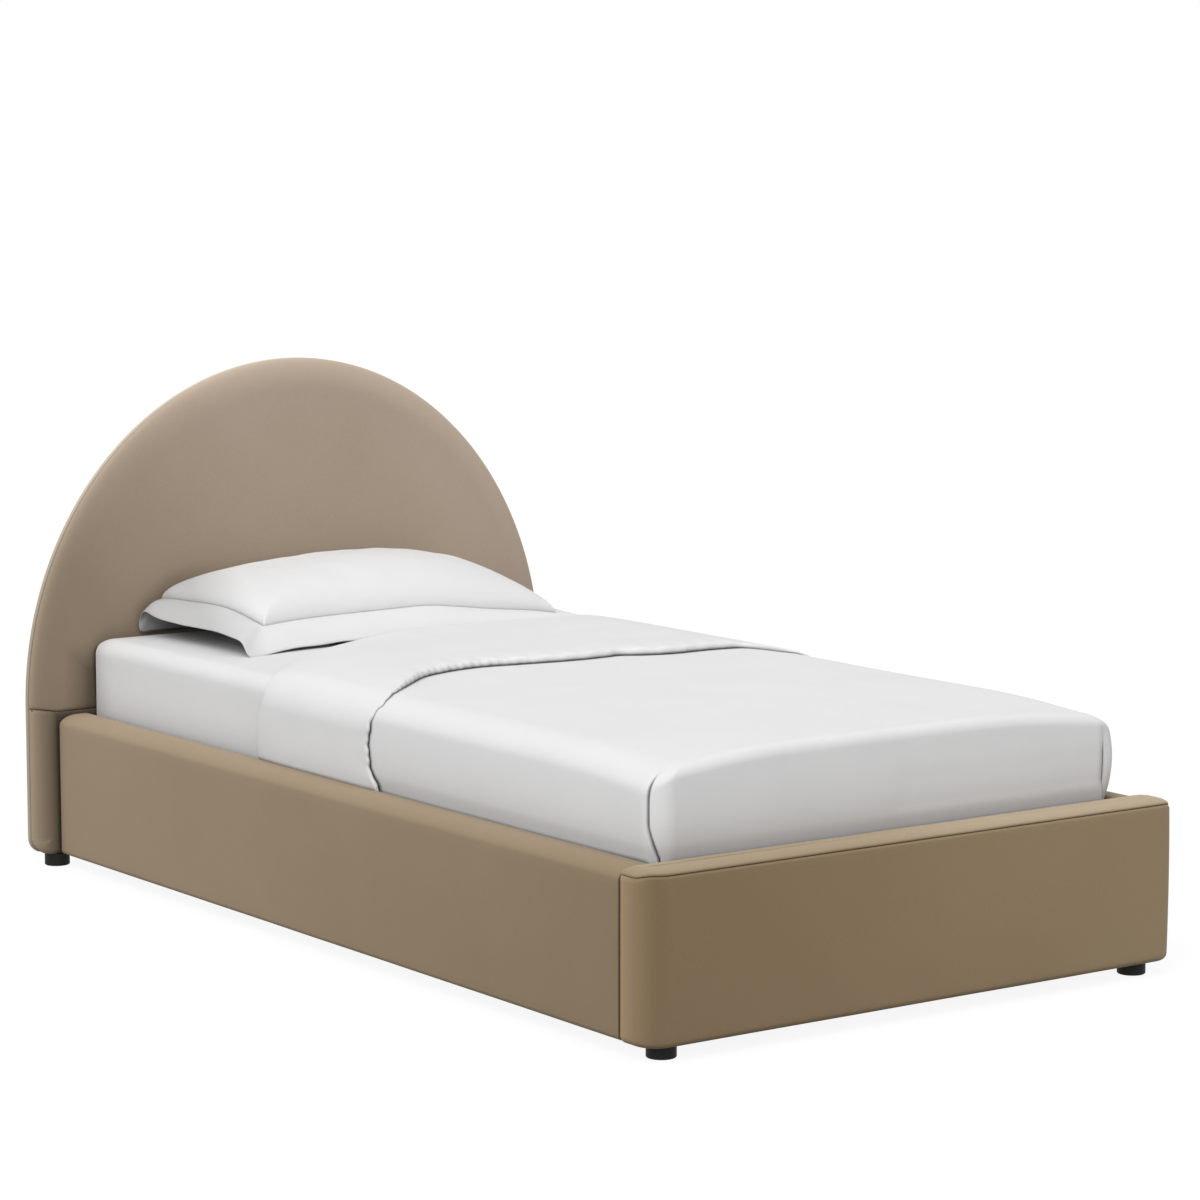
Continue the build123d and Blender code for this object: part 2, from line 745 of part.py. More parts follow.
# The free hem of the turned-down part, right to left
hem_shares = [
    (1.1, 0.572), (0.95, 0.565), (0.88, 0.5), (0.57, 0.487), (0.37, 0.466), (0.07, 0.463), (-0.35, 0.448),
    (-0.51, 0.46), (-0.67, 0.49), (-0.9, 0.565), (-1.1, 0.57),
]
# A share beyond the duvet's edges
beyond_share = 1.1
# How high the bedding stands along the bed, as shares of the length and of its own thickness
duvet_profile_shares = [(0.15, 0.0), (0.22, 1.0), (1.1, 1.0)]
turndown_profile_shares = [(0.15, 0.0), (0.2, 0.45), (0.26, 0.8), (0.36, 1.0), (0.55, 1.0), (0.65, 0.9)]


def along_bed(share):
    """The place that lies at a share of the mattress's length, measured from its head end."""
    return mattress_head - share * mattress_length


def plan_point(across_share, along_share):
    """A point of the bedding's plan."""
    return (across_share * duvet_half_width, along_bed(along_share))


def side_profile(shares, thickness, reach):
    """A prism across the bed under a line of heights, which start at the fold's own thickness."""
    base = sheet_top + soft_clearance + duvet_fold_thickness
    top = [(along_bed(along), base + share * (thickness - duvet_fold_thickness)) for along, share in shares]
    floor = [(top[-1][0], duvet_hem_height), (top[0][0], duvet_hem_height)]
    outline = make_face(Polyline(*top, *floor, close=True))
    return extrude(Plane.YZ * outline, reach, both=True)


def bedding_block(top, edge_radius):
    """A block over the mattress with soft top edges and round corners at the foot."""
    foot_end = mattress_foot - duvet_gap - duvet_side_thickness
    form = block((-duvet_half_width, foot_end, duvet_hem_height), (duvet_half_width, head_face, top))
    upright = form.edges().filter_by(Axis.Z).sort_by(Axis.Y)
    form = fillet(upright[:2], duvet_corner_radius)
    upper = form.faces().sort_by(Axis.Z)[-1].edges().sort_by(Axis.Y)[:-1]
    return fillet(upper, edge_radius)


def make_duvet():
    """A duvet over the foot of the mattress, with its head end folded back as a second layer."""
    high = duvet_top + overrun + turndown_rise
    fold_points = [plan_point(*shares) for shares in fold_line_shares]
    foot_points = [plan_point(beyond_share, beyond_share), plan_point(-beyond_share, beyond_share)]
    plan = make_face([Spline(fold_points), Polyline(fold_points[-1], *foot_points, fold_points[0])])
    body = bedding_block(duvet_top, duvet_edge_radius) & extrude(plan, high)
    body &= side_profile(duvet_profile_shares, duvet_top_thickness, 2 * duvet_half_width)

    hem_points = [plan_point(*shares) for shares in hem_shares]
    ends = [Line(fold_points[-1], hem_points[0]), Line(hem_points[-1], fold_points[0])]
    turned_plan = make_face([Spline(fold_points), ends[0], Spline(hem_points), ends[1]])
    turned_height = duvet_top_thickness + turndown_rise
    turned = bedding_block(duvet_top + turndown_rise, turndown_edge_radius) & extrude(turned_plan, high)
    turned &= side_profile(turndown_profile_shares, turned_height, 2 * duvet_half_width)
    duvet = (body + turned) - mattress_form(duvet_gap)
    nodes["duvet"] = duvet


# Pillow

# The pillow's plumpness along its width, and its outline from the front seam to the back one:
# the place as a share of the depth, and the bulge as a share of the full one
station_shares = [(-1.0, 0.05), (-0.92, 0.4), (-0.66, 0.8), (0.0, 1.0), (0.66, 0.8), (0.92, 0.4), (1.0, 0.05)]
upper_shares = [(0.0, 0.0), (0.05, 0.36), (0.18, 0.72), (0.38, 0.96), (0.62, 0.98), (0.84, 0.72), (1.0, 0.0)]
lower_shares = [(1.0, 0.0), (0.94, 0.5), (0.78, 0.99), (0.25, 0.99), (0.08, 0.5), (0.0, 0.0)]


def seam_height(share):
    """How high the pillow's seam runs over what it lies on, from its front to its back."""
    return pillow_seam_front_height + share * (pillow_seam_back_height - pillow_seam_front_height)


def pillow_section(across, plumpness, inset):
    """One upright section through the pillow, drawn in by inset."""
    back = head_face - pillow_head_gap - inset
    depth = pillow_depth - 2 * inset
    crest = pillow_thickness - seam_height(0.5)

    def point(share, rise):
        return (back - depth * (1 - share), pillow_rest + seam_height(share) + rise)

    upper = [point(share, bulge * (plumpness * crest - inset)) for share, bulge in upper_shares]
    lower = [point(share, -bulge * (plumpness * seam_height(share) - inset)) for share, bulge in lower_shares]
    face = make_face(Polyline(*upper, *lower[1:-1], close=True))
    return Plane(origin=(across, 0, 0), x_dir=(0, 1, 0), z_dir=(1, 0, 0)) * face


def pillow_form(inset):
    """The plump body of the pillow, ruled from section to section."""
    half = pillow_width / 2 - inset
    sections = [pillow_section(pillow_offset + place * half, plumpness, inset) for place, plumpness in station_shares]
    return loft(sections, ruled=True)


def pillow_flange_plate():
    """The flat border round the pillow's seam, which lies in the sloping plane of that seam."""
    front = head_face - pillow_head_gap - pillow_depth
    slope_rise = pillow_seam_back_height - pillow_seam_front_height
    plane = Plane(
        origin=(pillow_offset, front, pillow_rest + pillow_seam_front_height),
        x_dir=(1, 0, 0), z_dir=(0, -slope_rise, pillow_depth),
    )
    back_reach = pillow_depth + pillow_head_gap - pillow_flange_head_gap
    low_corner = (-pillow_width / 2 - pillow_flange, -pillow_flange)
    high_corner = (pillow_width / 2 + pillow_flange, back_reach)
    outline = Polyline(
        low_corner, (high_corner[0], low_corner[1]), high_corner, (low_corner[0], high_corner[1]), close=True
    )
    plate = extrude(plane * make_face(outline), pillow_flange_thickness / 2, both=True)
    return plate


def make_pillow():
    """A filled pillow in a sham with a flat flange all round."""
    filling = pillow_form(sham_thickness)
    nodes["pillow"] = filling
    nodes["pillow_sham"] = (pillow_form(0) + pillow_flange_plate()) - filling


# Places that several pieces share
bolt_across = rail_inside - (bracket_leg + bracket_thickness) / 2
bolt_heights = [bracket_bottom + bracket_height / 4, bracket_bottom + 3 * bracket_height / 4]
bracket_screw_setback = bracket_leg - screw_edge_distance
bracket_screw_places = [head_face - bracket_screw_setback, foot_face + bracket_screw_setback]
bracket_screw_heights = [bracket_bottom + screw_edge_distance, bracket_bottom + bracket_height - screw_edge_distance]
hanger_screw_across = centre_rail_width / 2 + hanger_thickness + hanger_flange / 2
hanger_screw_height = centre_rail_bottom - hanger_thickness + hanger_height / 2
slat_screw_across = rail_inside - ledger_width / 2
first_slat = foot_face + slat_first_gap + slat_width / 2
last_slat = head_face - slat_first_gap - slat_width / 2
slat_pitch = (last_slat - first_slat) / (slat_count - 1)
slat_middles = [first_slat + index * slat_pitch for index in range(slat_count)]
end_slats = [slat_middles[0], slat_middles[-1]]
leg_places = {"head": middle_of_rails + leg_spacing / 2, "foot": middle_of_rails - leg_spacing / 2}
head_foot_y = (head_face + back_face) / 2
front_foot_y = front_face + front_foot_setback
head_foot_across = headboard_half_width - head_foot_inset
front_foot_across = footboard_half_width - front_foot_inset

make_headboard()
make_side_rails()
make_footboard()
make_fixings()
make_slats()
make_centre_support()
make_feet()
make_mattress()
make_duvet()
make_pillow()

os.makedirs("parts", exist_ok=True)
for name, shape in nodes.items():
    export_step(shape, f"parts/{name}.step")
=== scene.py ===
import math

import bmesh
import bpy
import numpy as np
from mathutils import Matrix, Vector


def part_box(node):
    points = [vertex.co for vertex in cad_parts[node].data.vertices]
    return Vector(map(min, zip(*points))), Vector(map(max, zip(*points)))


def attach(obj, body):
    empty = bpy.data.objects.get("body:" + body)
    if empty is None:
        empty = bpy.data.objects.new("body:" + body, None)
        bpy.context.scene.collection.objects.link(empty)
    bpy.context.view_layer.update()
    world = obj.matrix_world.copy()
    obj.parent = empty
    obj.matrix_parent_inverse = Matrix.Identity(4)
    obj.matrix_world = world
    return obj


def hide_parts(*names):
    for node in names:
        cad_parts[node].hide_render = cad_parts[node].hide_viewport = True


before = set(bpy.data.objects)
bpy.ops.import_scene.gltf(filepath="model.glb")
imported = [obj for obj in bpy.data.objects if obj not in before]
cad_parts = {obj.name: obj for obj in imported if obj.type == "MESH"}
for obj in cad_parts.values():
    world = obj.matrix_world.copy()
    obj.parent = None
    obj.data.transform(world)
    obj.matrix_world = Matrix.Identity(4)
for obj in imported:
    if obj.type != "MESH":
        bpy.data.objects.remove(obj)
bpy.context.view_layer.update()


# The photograph's view: a long lens stands low off the bed's left foot corner and looks along
# it towards the headboard.

view_data = bpy.data.cameras.new("photograph_view")
view_data.sensor_width = 36.0
view_data.lens = 113.67
view = bpy.data.objects.new("photograph_view", view_data)
view.location = (-4.0292, -5.7164, 1.4896)
view.rotation_euler = (math.radians(82.714), 0.0, math.radians(-35.6035))
bpy.context.scene.collection.objects.link(view)
bpy.context.scene.camera = view
bpy.context.scene.view_settings.view_transform = "Standard"


# Timber core: birch ply for the half-moon panel, its edge strips and the footboard's boards,
# and the rails' boards, sawn pine for posts, blocks, ledgers, centre rail and legs, planed slats.
# Boards are cut to length, glued and screwed, and nearly all of it is hidden by upholstery.

def linear(colour):
    """sRGB hex to linear light, by channel: c / 12.92 near black, else ((c + 0.055) / 1.055) ** 2.4."""
    channels = np.array([int(colour[start:start + 2], 16) for start in (1, 3, 5)]) / 255
    bright = ((channels + 0.055) / 1.055) ** 2.4
    return (*np.where(channels <= 0.04045, channels / 12.92, bright).tolist(), 1.0)


def add(material, kind, sockets, **settings):
    """Adds one node with its settings; each socket takes a value, or a link from another node's socket."""
    node = material.node_tree.nodes.new(kind)
    for name, value in settings.items():
        setattr(node, name, value)
    for name, value in sockets.items():
        if isinstance(value, bpy.types.NodeSocket):
            material.node_tree.links.new(value, node.inputs[name])
        else:
            node.inputs[name].default_value = value
    return node


def bare_material(name):
    """A material with no nodes in it yet."""
    material = bpy.data.materials.new(name)
    material.use_nodes = True
    material.node_tree.nodes.clear()
    return material


def sawn_timber(name, pale, dark, grain_width, along):
    """Timber whose grain is noise drawn out twenty times on one axis: 0 across the bed, 1 along it, 2 up."""
    timber = bare_material(name)
    place = add(timber, "ShaderNodeTexCoord", {})
    stretch = [1 / grain_width] * 3
    stretch[along] /= 20
    drawn = add(timber, "ShaderNodeMapping", {"Vector": place.outputs["Object"], "Scale": stretch})
    grain = add(timber, "ShaderNodeTexNoise", {"Vector": drawn.outputs[0], "Scale": 1.0, "Detail": 6.0})
    colour = add(timber, "ShaderNodeMix", {
        "Factor": grain.outputs["Fac"], 6: linear(dark), 7: linear(pale)}, data_type="RGBA")
    relief = add(timber, "ShaderNodeBump", {
        "Height": grain.outputs["Fac"], "Strength": 0.2, "Distance": 0.0006})
    surface = add(timber, "ShaderNodeBsdfPrincipled", {
        "Base Color": colour.outputs[2], "Roughness": 0.7, "Normal": relief.outputs[0]})
    add(timber, "ShaderNodeOutputMaterial", {"Surface": surface.outputs[0]})
    return timber


def dress(material, *nodes):
    """Gives CAD nodes their real finish."""
    for node in nodes:
        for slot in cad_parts[node].material_slots:
            slot.material = material


# Rotary-cut birch ply: pale, with a grain of about 6 mm
birch_ply = sawn_timber("birch_ply", "#d9bd92", "#c4a273", 0.006, 0)
dress(birch_ply, "headboard_panel", "headboard_strips", "footboard_back_board", "footboard_front_board",
      "footboard_stiffeners", "side_rail_board_right", "side_rail_board_left")
# Sawn pine: yellower, with broad growth rings of about 9 mm
pine_across = sawn_timber("pine_slat", "#e0bf8a", "#c1945a", 0.009, 0)
dress(pine_across, *[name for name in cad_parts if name.startswith("slat_") and name[-2:].isdigit()])
pine_along = sawn_timber("pine_rail", "#dcb981", "#bd8f57", 0.009, 1)
dress(pine_along, "side_rail_ledger_right", "side_rail_ledger_left", "centre_rail")
pine_upright = sawn_timber("pine_post", "#dab67f", "#b98b54", 0.009, 2)
dress(pine_upright, "headboard_posts", "headboard_foot_blocks", "footboard_corner_blocks", "centre_leg_head",
      "centre_leg_foot")


def two_toned(name, kind, pattern, reads, tones, relief, finish, **settings):
    """A finish in two tones, dark and pale, that follow one pattern on the object.

    The same pattern gives the relief, by strength and depth; a finish with None for it has none.
    """
    material = bare_material(name)
    place = add(material, "ShaderNodeTexCoord", {})
    drawing = add(material, kind, {"Vector": place.outputs["Object"], **pattern}, **settings)
    dark, pale = tones
    colour = add(material, "ShaderNodeMix", {
        "Factor": drawing.outputs[reads], 6: linear(dark), 7: linear(pale)}, data_type="RGBA")
    surface = add(material, "ShaderNodeBsdfPrincipled", {"Base Color": colour.outputs[2], **finish})
    if relief is not None:
        strength, depth = relief
        bump = add(material, "ShaderNodeBump", {
            "Height": drawing.outputs[reads], "Strength": strength, "Distance": depth})
        material.node_tree.links.new(bump.outputs[0], surface.inputs["Normal"])
    add(material, "ShaderNodeOutputMaterial", {"Surface": surface.outputs[0]})
    return material


# Slat webbing: woven polyester band stapled under the slats, 38 mm wide, with a 2 mm rib
rib_pitch = 0.002
woven_band = two_toned("woven_webbing", "ShaderNodeTexWave", {
    "Scale": 2 * math.pi / (20 * rib_pitch), "Distortion": 0.4}, "Fac", ("#2a2a2c", "#3d3d40"),
    (0.5, 0.0005), {"Roughness": 0.8}, bands_direction="Y")
dress(woven_band, "slat_webbing")


# Steel fittings: pressed angles and shoes in black powder coat; bolts, nuts, screws and the
# levellers' studs in bright zinc plate. They are bolted up inside the four corners.

# Powder coat: an orange-peel grain of about 1.4 mm in a half-gloss black
powder_coat = two_toned("black_powder_coat", "ShaderNodeTexNoise", {"Scale": 700.0, "Detail": 2.0}, "Fac",
                        ("#17171a", "#242427"), (0.25, 0.0002), {"Roughness": 0.45})
dress(powder_coat, "head_corner_brackets", "foot_corner_brackets", "centre_rail_hangers")

# Zinc plate: bright, with a faint spangle of about 4 mm
zinc_plate = two_toned("zinc_plate", "ShaderNodeTexNoise", {"Scale": 260.0, "Detail": 3.0}, "Fac",
                       ("#a9acae", "#cfd0cd"), None, {"Roughness": 0.35, "Metallic": 1.0})
dress(zinc_plate, "bracket_bolts", "bracket_nuts", "bracket_screws", "slat_screws", "foot_screws",
      "leveller_head", "leveller_foot")


# Feet: four low discs of black moulded polypropylene, 50 mm across, each screwed up into the
# timber. Moulding leaves a fine satin grain.

moulded_plastic = two_toned("moulded_polypropylene", "ShaderNodeTexNoise", {
    "Scale": 900.0, "Detail": 2.0}, "Fac", ("#0c0b0a", "#171513"), (0.3, 0.0002),
    {"Roughness": 0.6, "IOR": 1.49, "Specular IOR Level": 0.25})
dress(moulded_plastic, "foot_head_right", "foot_head_left", "foot_front_right", "foot_front_left")


# Headboard upholstery: foam over the half-moon, covered in short-pile velvet sewn from an upper
# panel, a lower panel below a seam at rail height, and a narrow band round the edge. The front
# edge is a soft roll, and a black cloth is stapled over the back.

def painted_occlusion_shade(material, reach, shut, darkest):
    """Painted shade from ambient occlusion: a factor on the colour, darkest where hardly anything comes in
    from within reach, and 1 in the open.
    """
    around = add(material, "ShaderNodeAmbientOcclusion", {"Distance": reach}, samples=8)
    factor = add(material, "ShaderNodeMapRange", {
        "Value": around.outputs["AO"], "From Min": shut, "From Max": 0.9, "To Min": darkest, "To Max": 1.0})
    return factor.outputs[0]


def velvet(name, full, brushed_and_shaded, lean, start, beside=0.6, crevice=0.16, shaded_by_part=None, lit_from=None):
    """Cotton velvet with painted light and shade: its tone runs from lit to shaded across the part, with soft
    blotches where the nap lies differently.

    The share of the full tone is place dot lean, plus start, plus noise: lean and start paint a gradient of
    light and shade across the part, and the noise stands for the nap. The parts have copies with their own
    tones, partly lighter or darker by how light falls on them, as painted light and shade. Painted sheen and
    shade by view angle: tufts seen squarely, down into the pile, are painted darker, and their tips on an
    edge painted lighter: 1.08 - 0.36 * cosine ** 4 + 0.3 * (1 - cosine) ** 5 of the angle between sight line
    and surface. Painted shade from ambient occlusion darkens pile that is shut in: down to the factor beside
    by a neighbouring part, and down to the factor crevice in a seam or a joint. The argument for a part
    beside the cover gives half its width, its top, a reach and a least factor: painted shade deepens towards
    that part by (distance / reach) ** 0.4. The argument for lit ends gives where painted light on the ends
    begins: up to 1.3 times as light, 35 mm further from the foot.
    """
    pile = bare_material(name)
    place = add(pile, "ShaderNodeTexCoord", {})
    nap = add(pile, "ShaderNodeTexNoise", {"Vector": place.outputs["Object"], "Scale": 3.0, "Detail": 2.0})
    # A real tuft is 0.4 mm across; it is drawn at 3 mm, or it would not show at this size
    tufts = add(pile, "ShaderNodeTexNoise", {
        "Vector": place.outputs["Object"], "Scale": 330.0, "Detail": 2.0})
    # Painted shade: a gradient of light and shade across the part, along lean
    way = add(pile, "ShaderNodeVectorMath", {0: place.outputs["Object"], 1: lean}, operation="DOT_PRODUCT")
    patchiness = 0.9
    patchy = add(pile, "ShaderNodeMath", {
        0: nap.outputs["Fac"], 1: patchiness, 2: start - patchiness / 2}, operation="MULTIPLY_ADD")
    share = add(pile, "ShaderNodeMath", {0: way.outputs["Value"], 1: patchy.outputs[0]}, operation="ADD")
    patches_and_shade = add(pile, "ShaderNodeMix", {
        "Factor": share.outputs[0], 6: linear(brushed_and_shaded), 7: linear(full)}, data_type="RGBA")
    # Painted sheen and shade by view angle: darker where the surface is seen squarely, lighter at grazing
    # edges
    facing = add(pile, "ShaderNodeLayerWeight", {"Blend": 0.5})
    squareness = add(pile, "ShaderNodeMath", {0: 1.0, 1: facing.outputs["Facing"]}, operation="SUBTRACT")
    depth = add(pile, "ShaderNodeMath", {0: squareness.outputs[0], 1: 4.0}, operation="POWER")
    rim = add(pile, "ShaderNodeMath", {0: facing.outputs["Facing"], 1: 5.0}, operation="POWER")
    painted_edge_sheen = add(pile, "ShaderNodeMath", {0: rim.outputs[0], 1: 0.3, 2: 1.08}, operation="MULTIPLY_ADD")
    tone = add(pile, "ShaderNodeMath", {0: depth.outputs[0], 1: -0.36, 2: painted_edge_sheen.outputs[0]},
               operation="MULTIPLY_ADD")
    speckle = add(pile, "ShaderNodeMapRange", {
        "Value": tufts.outputs["Fac"], "From Min": 0.3, "From Max": 0.7, "To Min": 0.97, "To Max": 1.03})
    strength = add(pile, "ShaderNodeMath", {0: tone.outputs[0], 1: speckle.outputs[0]}, operation="MULTIPLY")
    # Painted shade from ambient occlusion, beside neighbouring parts and in seams and joints
    shut_in = add(pile, "ShaderNodeMath", {
        0: painted_occlusion_shade(pile, 0.045, 0.3, beside), 1: painted_occlusion_shade(pile, 0.009, 0.35, crevice)}, operation="MULTIPLY")
    shade = add(pile, "ShaderNodeMath", {0: strength.outputs[0], 1: shut_in.outputs[0]}, operation="MULTIPLY")
    # Painted shade beside a neighbouring part, such as the bedding or a rail
    if shaded_by_part is not None:
        half_width, top, reach, least = shaded_by_part
        split = add(pile, "ShaderNodeSeparateXYZ", {0: place.outputs["Object"]})
        across = add(pile, "ShaderNodeMath", {0: split.outputs["X"]}, operation="ABSOLUTE")
        beside_it = add(pile, "ShaderNodeMath", {0: across.outputs[0], 1: half_width}, operation="SUBTRACT")
        above_it = add(pile, "ShaderNodeMath", {0: split.outputs["Z"], 1: top}, operation="SUBTRACT")
        clear = add(pile, "ShaderNodeMath", {
            0: beside_it.outputs[0], 1: above_it.outputs[0]}, operation="MAXIMUM")
        away = add(pile, "ShaderNodeMapRange", {
            "Value": clear.outputs[0], "From Min": 0.0, "From Max": reach})
        beyond = add(pile, "ShaderNodeMath", {0: away.outputs[0], 1: 0.4}, operation="POWER")
        out_of_shade = add(pile, "ShaderNodeMath", {0: beyond.outputs[0], 1: least}, operation="MAXIMUM")
        shade = add(pile, "ShaderNodeMath", {0: shade.outputs[0], 1: out_of_shade.outputs[0]}, operation="MULTIPLY")
    # Painted light on the ends, lighter towards the back
    if lit_from is not None:
        split = add(pile, "ShaderNodeSeparateXYZ", {0: place.outputs["Object"]})
        painted_end_light = add(pile, "ShaderNodeMapRange", {
            "Value": split.outputs["Y"], "From Min": lit_from, "From Max": lit_from + 0.035,
            "To Min": 1.0, "To Max": 1.3})
        shade = add(pile, "ShaderNodeMath", {0: shade.outputs[0], 1: painted_end_light.outputs[0]}, operation="MULTIPLY")
    colour = add(pile, "ShaderNodeMix", {
        "Factor": 1.0, 6: patches_and_shade.outputs[2], 7: shade.outputs[0]}, data_type="RGBA", blend_type="MULTIPLY")
    relief = add(pile, "ShaderNodeBump", {
        "Height": tufts.outputs["Fac"], "Strength": 0.15, "Distance": 0.0005})
    surface = add(pile, "ShaderNodeBsdfPrincipled", {
        "Base Color": colour.outputs[2], "Roughness": 0.9, "Specular IOR Level": 0.1, "Sheen Weight": 0.25,
        "Sheen Roughness": 0.45, "Sheen Tint": linear("#efe6d8"), "Normal": relief.outputs[0]})
    add(pile, "ShaderNodeOutputMaterial", {"Surface": surface.outputs[0]})
    return pile


def skin(name, grid, material, wrap_rows=False, wrap_columns=False, poles=False):
    """A mesh through rows of points: neighbours make quads, and poles close the first and last rows."""
    rows, columns = grid.shape[:2]
    index = np.arange(rows * columns).reshape(rows, columns)
    if wrap_rows:
        index = np.vstack([index, index[:1]])
    if wrap_columns:
        index = np.hstack([index, index[:, :1]])
    faces = np.stack([index[:-1, :-1], index[:-1, 1:], index[1:, 1:], index[1:, :-1]], axis=-1).reshape(-1, 4)
    points = grid.reshape(-1, 3)
    face_list = faces.tolist()
    if poles:
        for row, pole in ((index[0], len(points)), (index[-1], len(points) + 1)):
            fan = np.stack([row[:-1], row[1:], np.full(len(row) - 1, pole)], axis=-1)
            face_list += fan.tolist()
        points = np.vstack([points, grid[0].mean(axis=0), grid[-1].mean(axis=0)])
    mesh = bpy.data.meshes.new(name)
    mesh.from_pydata(points.tolist(), [], face_list)
    shell = bmesh.new()
    shell.from_mesh(mesh)
    same_point = 2e-6
    bmesh.ops.remove_doubles(shell, verts=shell.verts, dist=same_point)
    bmesh.ops.recalc_face_normals(shell, faces=shell.faces)
    middle = points.mean(axis=0)
    outward = sum(face.calc_area() * face.normal.dot(face.calc_center_median() - Vector(middle))
                  for face in shell.faces)
    if outward < 0:
        bmesh.ops.reverse_faces(shell, faces=shell.faces)
    shell.to_mesh(mesh)
    shell.free()
    mesh.shade_smooth()
    mesh.materials.append(material)
    piece = bpy.data.objects.new(name, mesh)
    bpy.context.scene.collection.objects.link(piece)
    return piece


def ripple(points, pitch, seed):
    """Soft unevenness between -1 and 1: the mean of eight sine waves of one pitch in fixed directions."""
    chance = np.random.default_rng(seed)
    directions = chance.normal(size=(8, points.shape[-1]))
    directions /= np.linalg.norm(directions, axis=1, keepdims=True)
    return np.sin(points @ directions.T * (2 * math.pi / pitch) + chance.uniform(0, 6.28, 8)).mean(axis=-1)


def quarter_round(distance, width, depth):
    """The fall of a rolled edge: a quarter ellipse, depth at the rim and nothing beyond the width."""
    reach = np.clip(1 - distance / width, 0, 1)
    return depth * (1 - np.sqrt(1 - reach ** 2))


def ramp(rise, run):
    """A straight climb from 0 to 1 over the run, held level at both ends."""
    return np.clip(rise / run, 0, 1)


def round_cornered(low_across, high_across, low_up, high_up, radii, corner_points=9, side_points=40):
    """A rectangle with round corners, anticlockwise from its lower right corner, one row for each inset.

    Each corner is a quarter ellipse with its own radius across and up, and each side a straight run between.
    """
    turn = np.linspace(0, math.pi / 2, corner_points)
    share = np.linspace(0, 1, side_points + 2)[1:-1]
    corners = []
    for number, radius in enumerate(radii):
        angle = turn + (number - 1) * math.pi / 2
        wide, tall = radius if isinstance(radius, tuple) else (radius, radius)
        across = (high_across - wide) if number < 2 else (low_across + wide)
        up = (high_up - tall) if number in (1, 2) else (low_up + tall)
        corners.append(np.stack([across + wide * np.cos(angle), up + tall * np.sin(angle)], axis=-1))
    runs = []
    for number, corner in enumerate(corners):
        start = corner[:, -1:]
        end = corners[(number + 1) % 4][:, :1]
        runs += [corner, start + (end - start) * share[None, :, None]]
    return np.concatenate(runs, axis=1)


def drawn_in(ring, target, shares):
    """Rows that run from a ring towards a target, one for each share of the way."""
    return ring + (target - ring) * np.asarray(shares)[:, None, None]


def standing(rings, depths):
    """Points of an upright outline, across and up, each with its depth along the bed."""
    return np.stack([rings[..., 0], depths + 0 * rings[..., 0], rings[..., 1]], axis=-1)


board_low, board_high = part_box("headboard_upper_cover")
half_board = board_high.x
seam_height = board_low.z
board_face = board_low.y
arch_spring = 0.322
arch_rise = board_high.z - arch_spring
board_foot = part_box("headboard_lower_cover")[0].z
board_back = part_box("headboard_edge_band")[1].y
band_width, clear_of_ply = 0.017, 0.0006
band_front = board_back - band_width
panel_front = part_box("headboard_panel")[0].y - clear_of_ply
board_corner = 0.030
# Painted light and shade: the headboard's velvet is lighter than the frame's, darker towards its lower left,
# and darker behind and beside the bedding
headboard_tones_and_shade = ("#c2b09e", "#a89681", (0.77, 0.0, 1.28), -0.21)
half_bedding, shaded_up_to = 0.486, 0.380
velvet_headboard = velvet("velvet_headboard", *headboard_tones_and_shade, beside=0.8,
                          shaded_by_part=(half_bedding, shaded_up_to, 0.070, 0.5))

rolling = np.linspace(0, math.pi / 2, 14)[:, None]
roll_width, roll_depth = 0.060, 0.029
seam_width, seam_depth = 0.009, 0.0045
roll_inset = roll_width * (1 - np.cos(rolling))
seam_inset = seam_width * (1 - np.cos(rolling))


def upper_panel_rings(arch_inset, floor_inset):
    """The upper panel's outline drawn in: half an ellipse above the spring, straight along the seam."""
    half = half_board - arch_inset
    rise = arch_rise - arch_inset
    floor = seam_height + floor_inset
    start = np.arcsin((floor - arch_spring) / rise)
    turn = start + (math.pi - 2 * start) * np.linspace(0, 1, 220)
    arch = np.stack([half * np.cos(turn), arch_spring + rise * np.sin(turn)], axis=-1)
    across = half * np.cos(start) * np.linspace(-1, 1, 122)[1:-1]
    return np.concatenate([arch, np.stack([across, floor + 0 * across], axis=-1)], axis=1)


def padded_face(rings, rim_fall, seam_distance):
    """Depths of the stuffed face: the flat face plus both rolled edges, less a low crown, softly uneven."""
    crown_height = 0.005
    flatness = (1 - rim_fall / roll_depth) ** 4
    crown = crown_height * (1 - np.exp(-seam_distance / 0.10)) * flatness
    fall = rim_fall + quarter_round(seam_distance, seam_width, seam_depth)
    soft = 0.0012 * ripple(rings, 0.31, 5) * ramp(seam_distance, 0.05) * flatness
    return board_face + crown_height + fall - crown + soft


def arch_fall(rings):
    """The arch's rolled edge, by the distance in along the ray from the spring's middle.

    That distance is length * (1 / share - 1), where share is the point's share of the arch's outline.
    """
    across = rings[..., 0]
    up = np.maximum(rings[..., 1] - arch_spring, 0)
    share = np.sqrt((across / half_board) ** 2 + (up / arch_rise) ** 2)
    return quarter_round(np.hypot(across, up) * (1 / np.maximum(share, 0.05) - 1), roll_width, roll_depth)


def stuffed_panel(name, front_rings, back_rings, back_depths, rim_fall, cover):
    """A closed cushion: the crowned face from its middle out to the rim, then the back from the rim in."""
    face_y = padded_face(front_rings, rim_fall(front_rings), np.abs(front_rings[..., 1] - seam_height))
    grid = np.concatenate([standing(front_rings, face_y)[::-1], standing(back_rings, back_depths)])
    # The seam lies a little higher at the rolled edge
    seam_lift, lift_from, lift_run = 0.005, 0.570, 0.030
    lifted = seam_lift * ramp(np.abs(grid[..., 0]) - lift_from, lift_run)
    grid[..., 2] += lifted * np.exp(-((grid[..., 2] - seam_height) / lift_run) ** 2)
    piece = skin(name, grid, cover, wrap_columns=True, poles=True)
    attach(piece, "frame")
    return piece


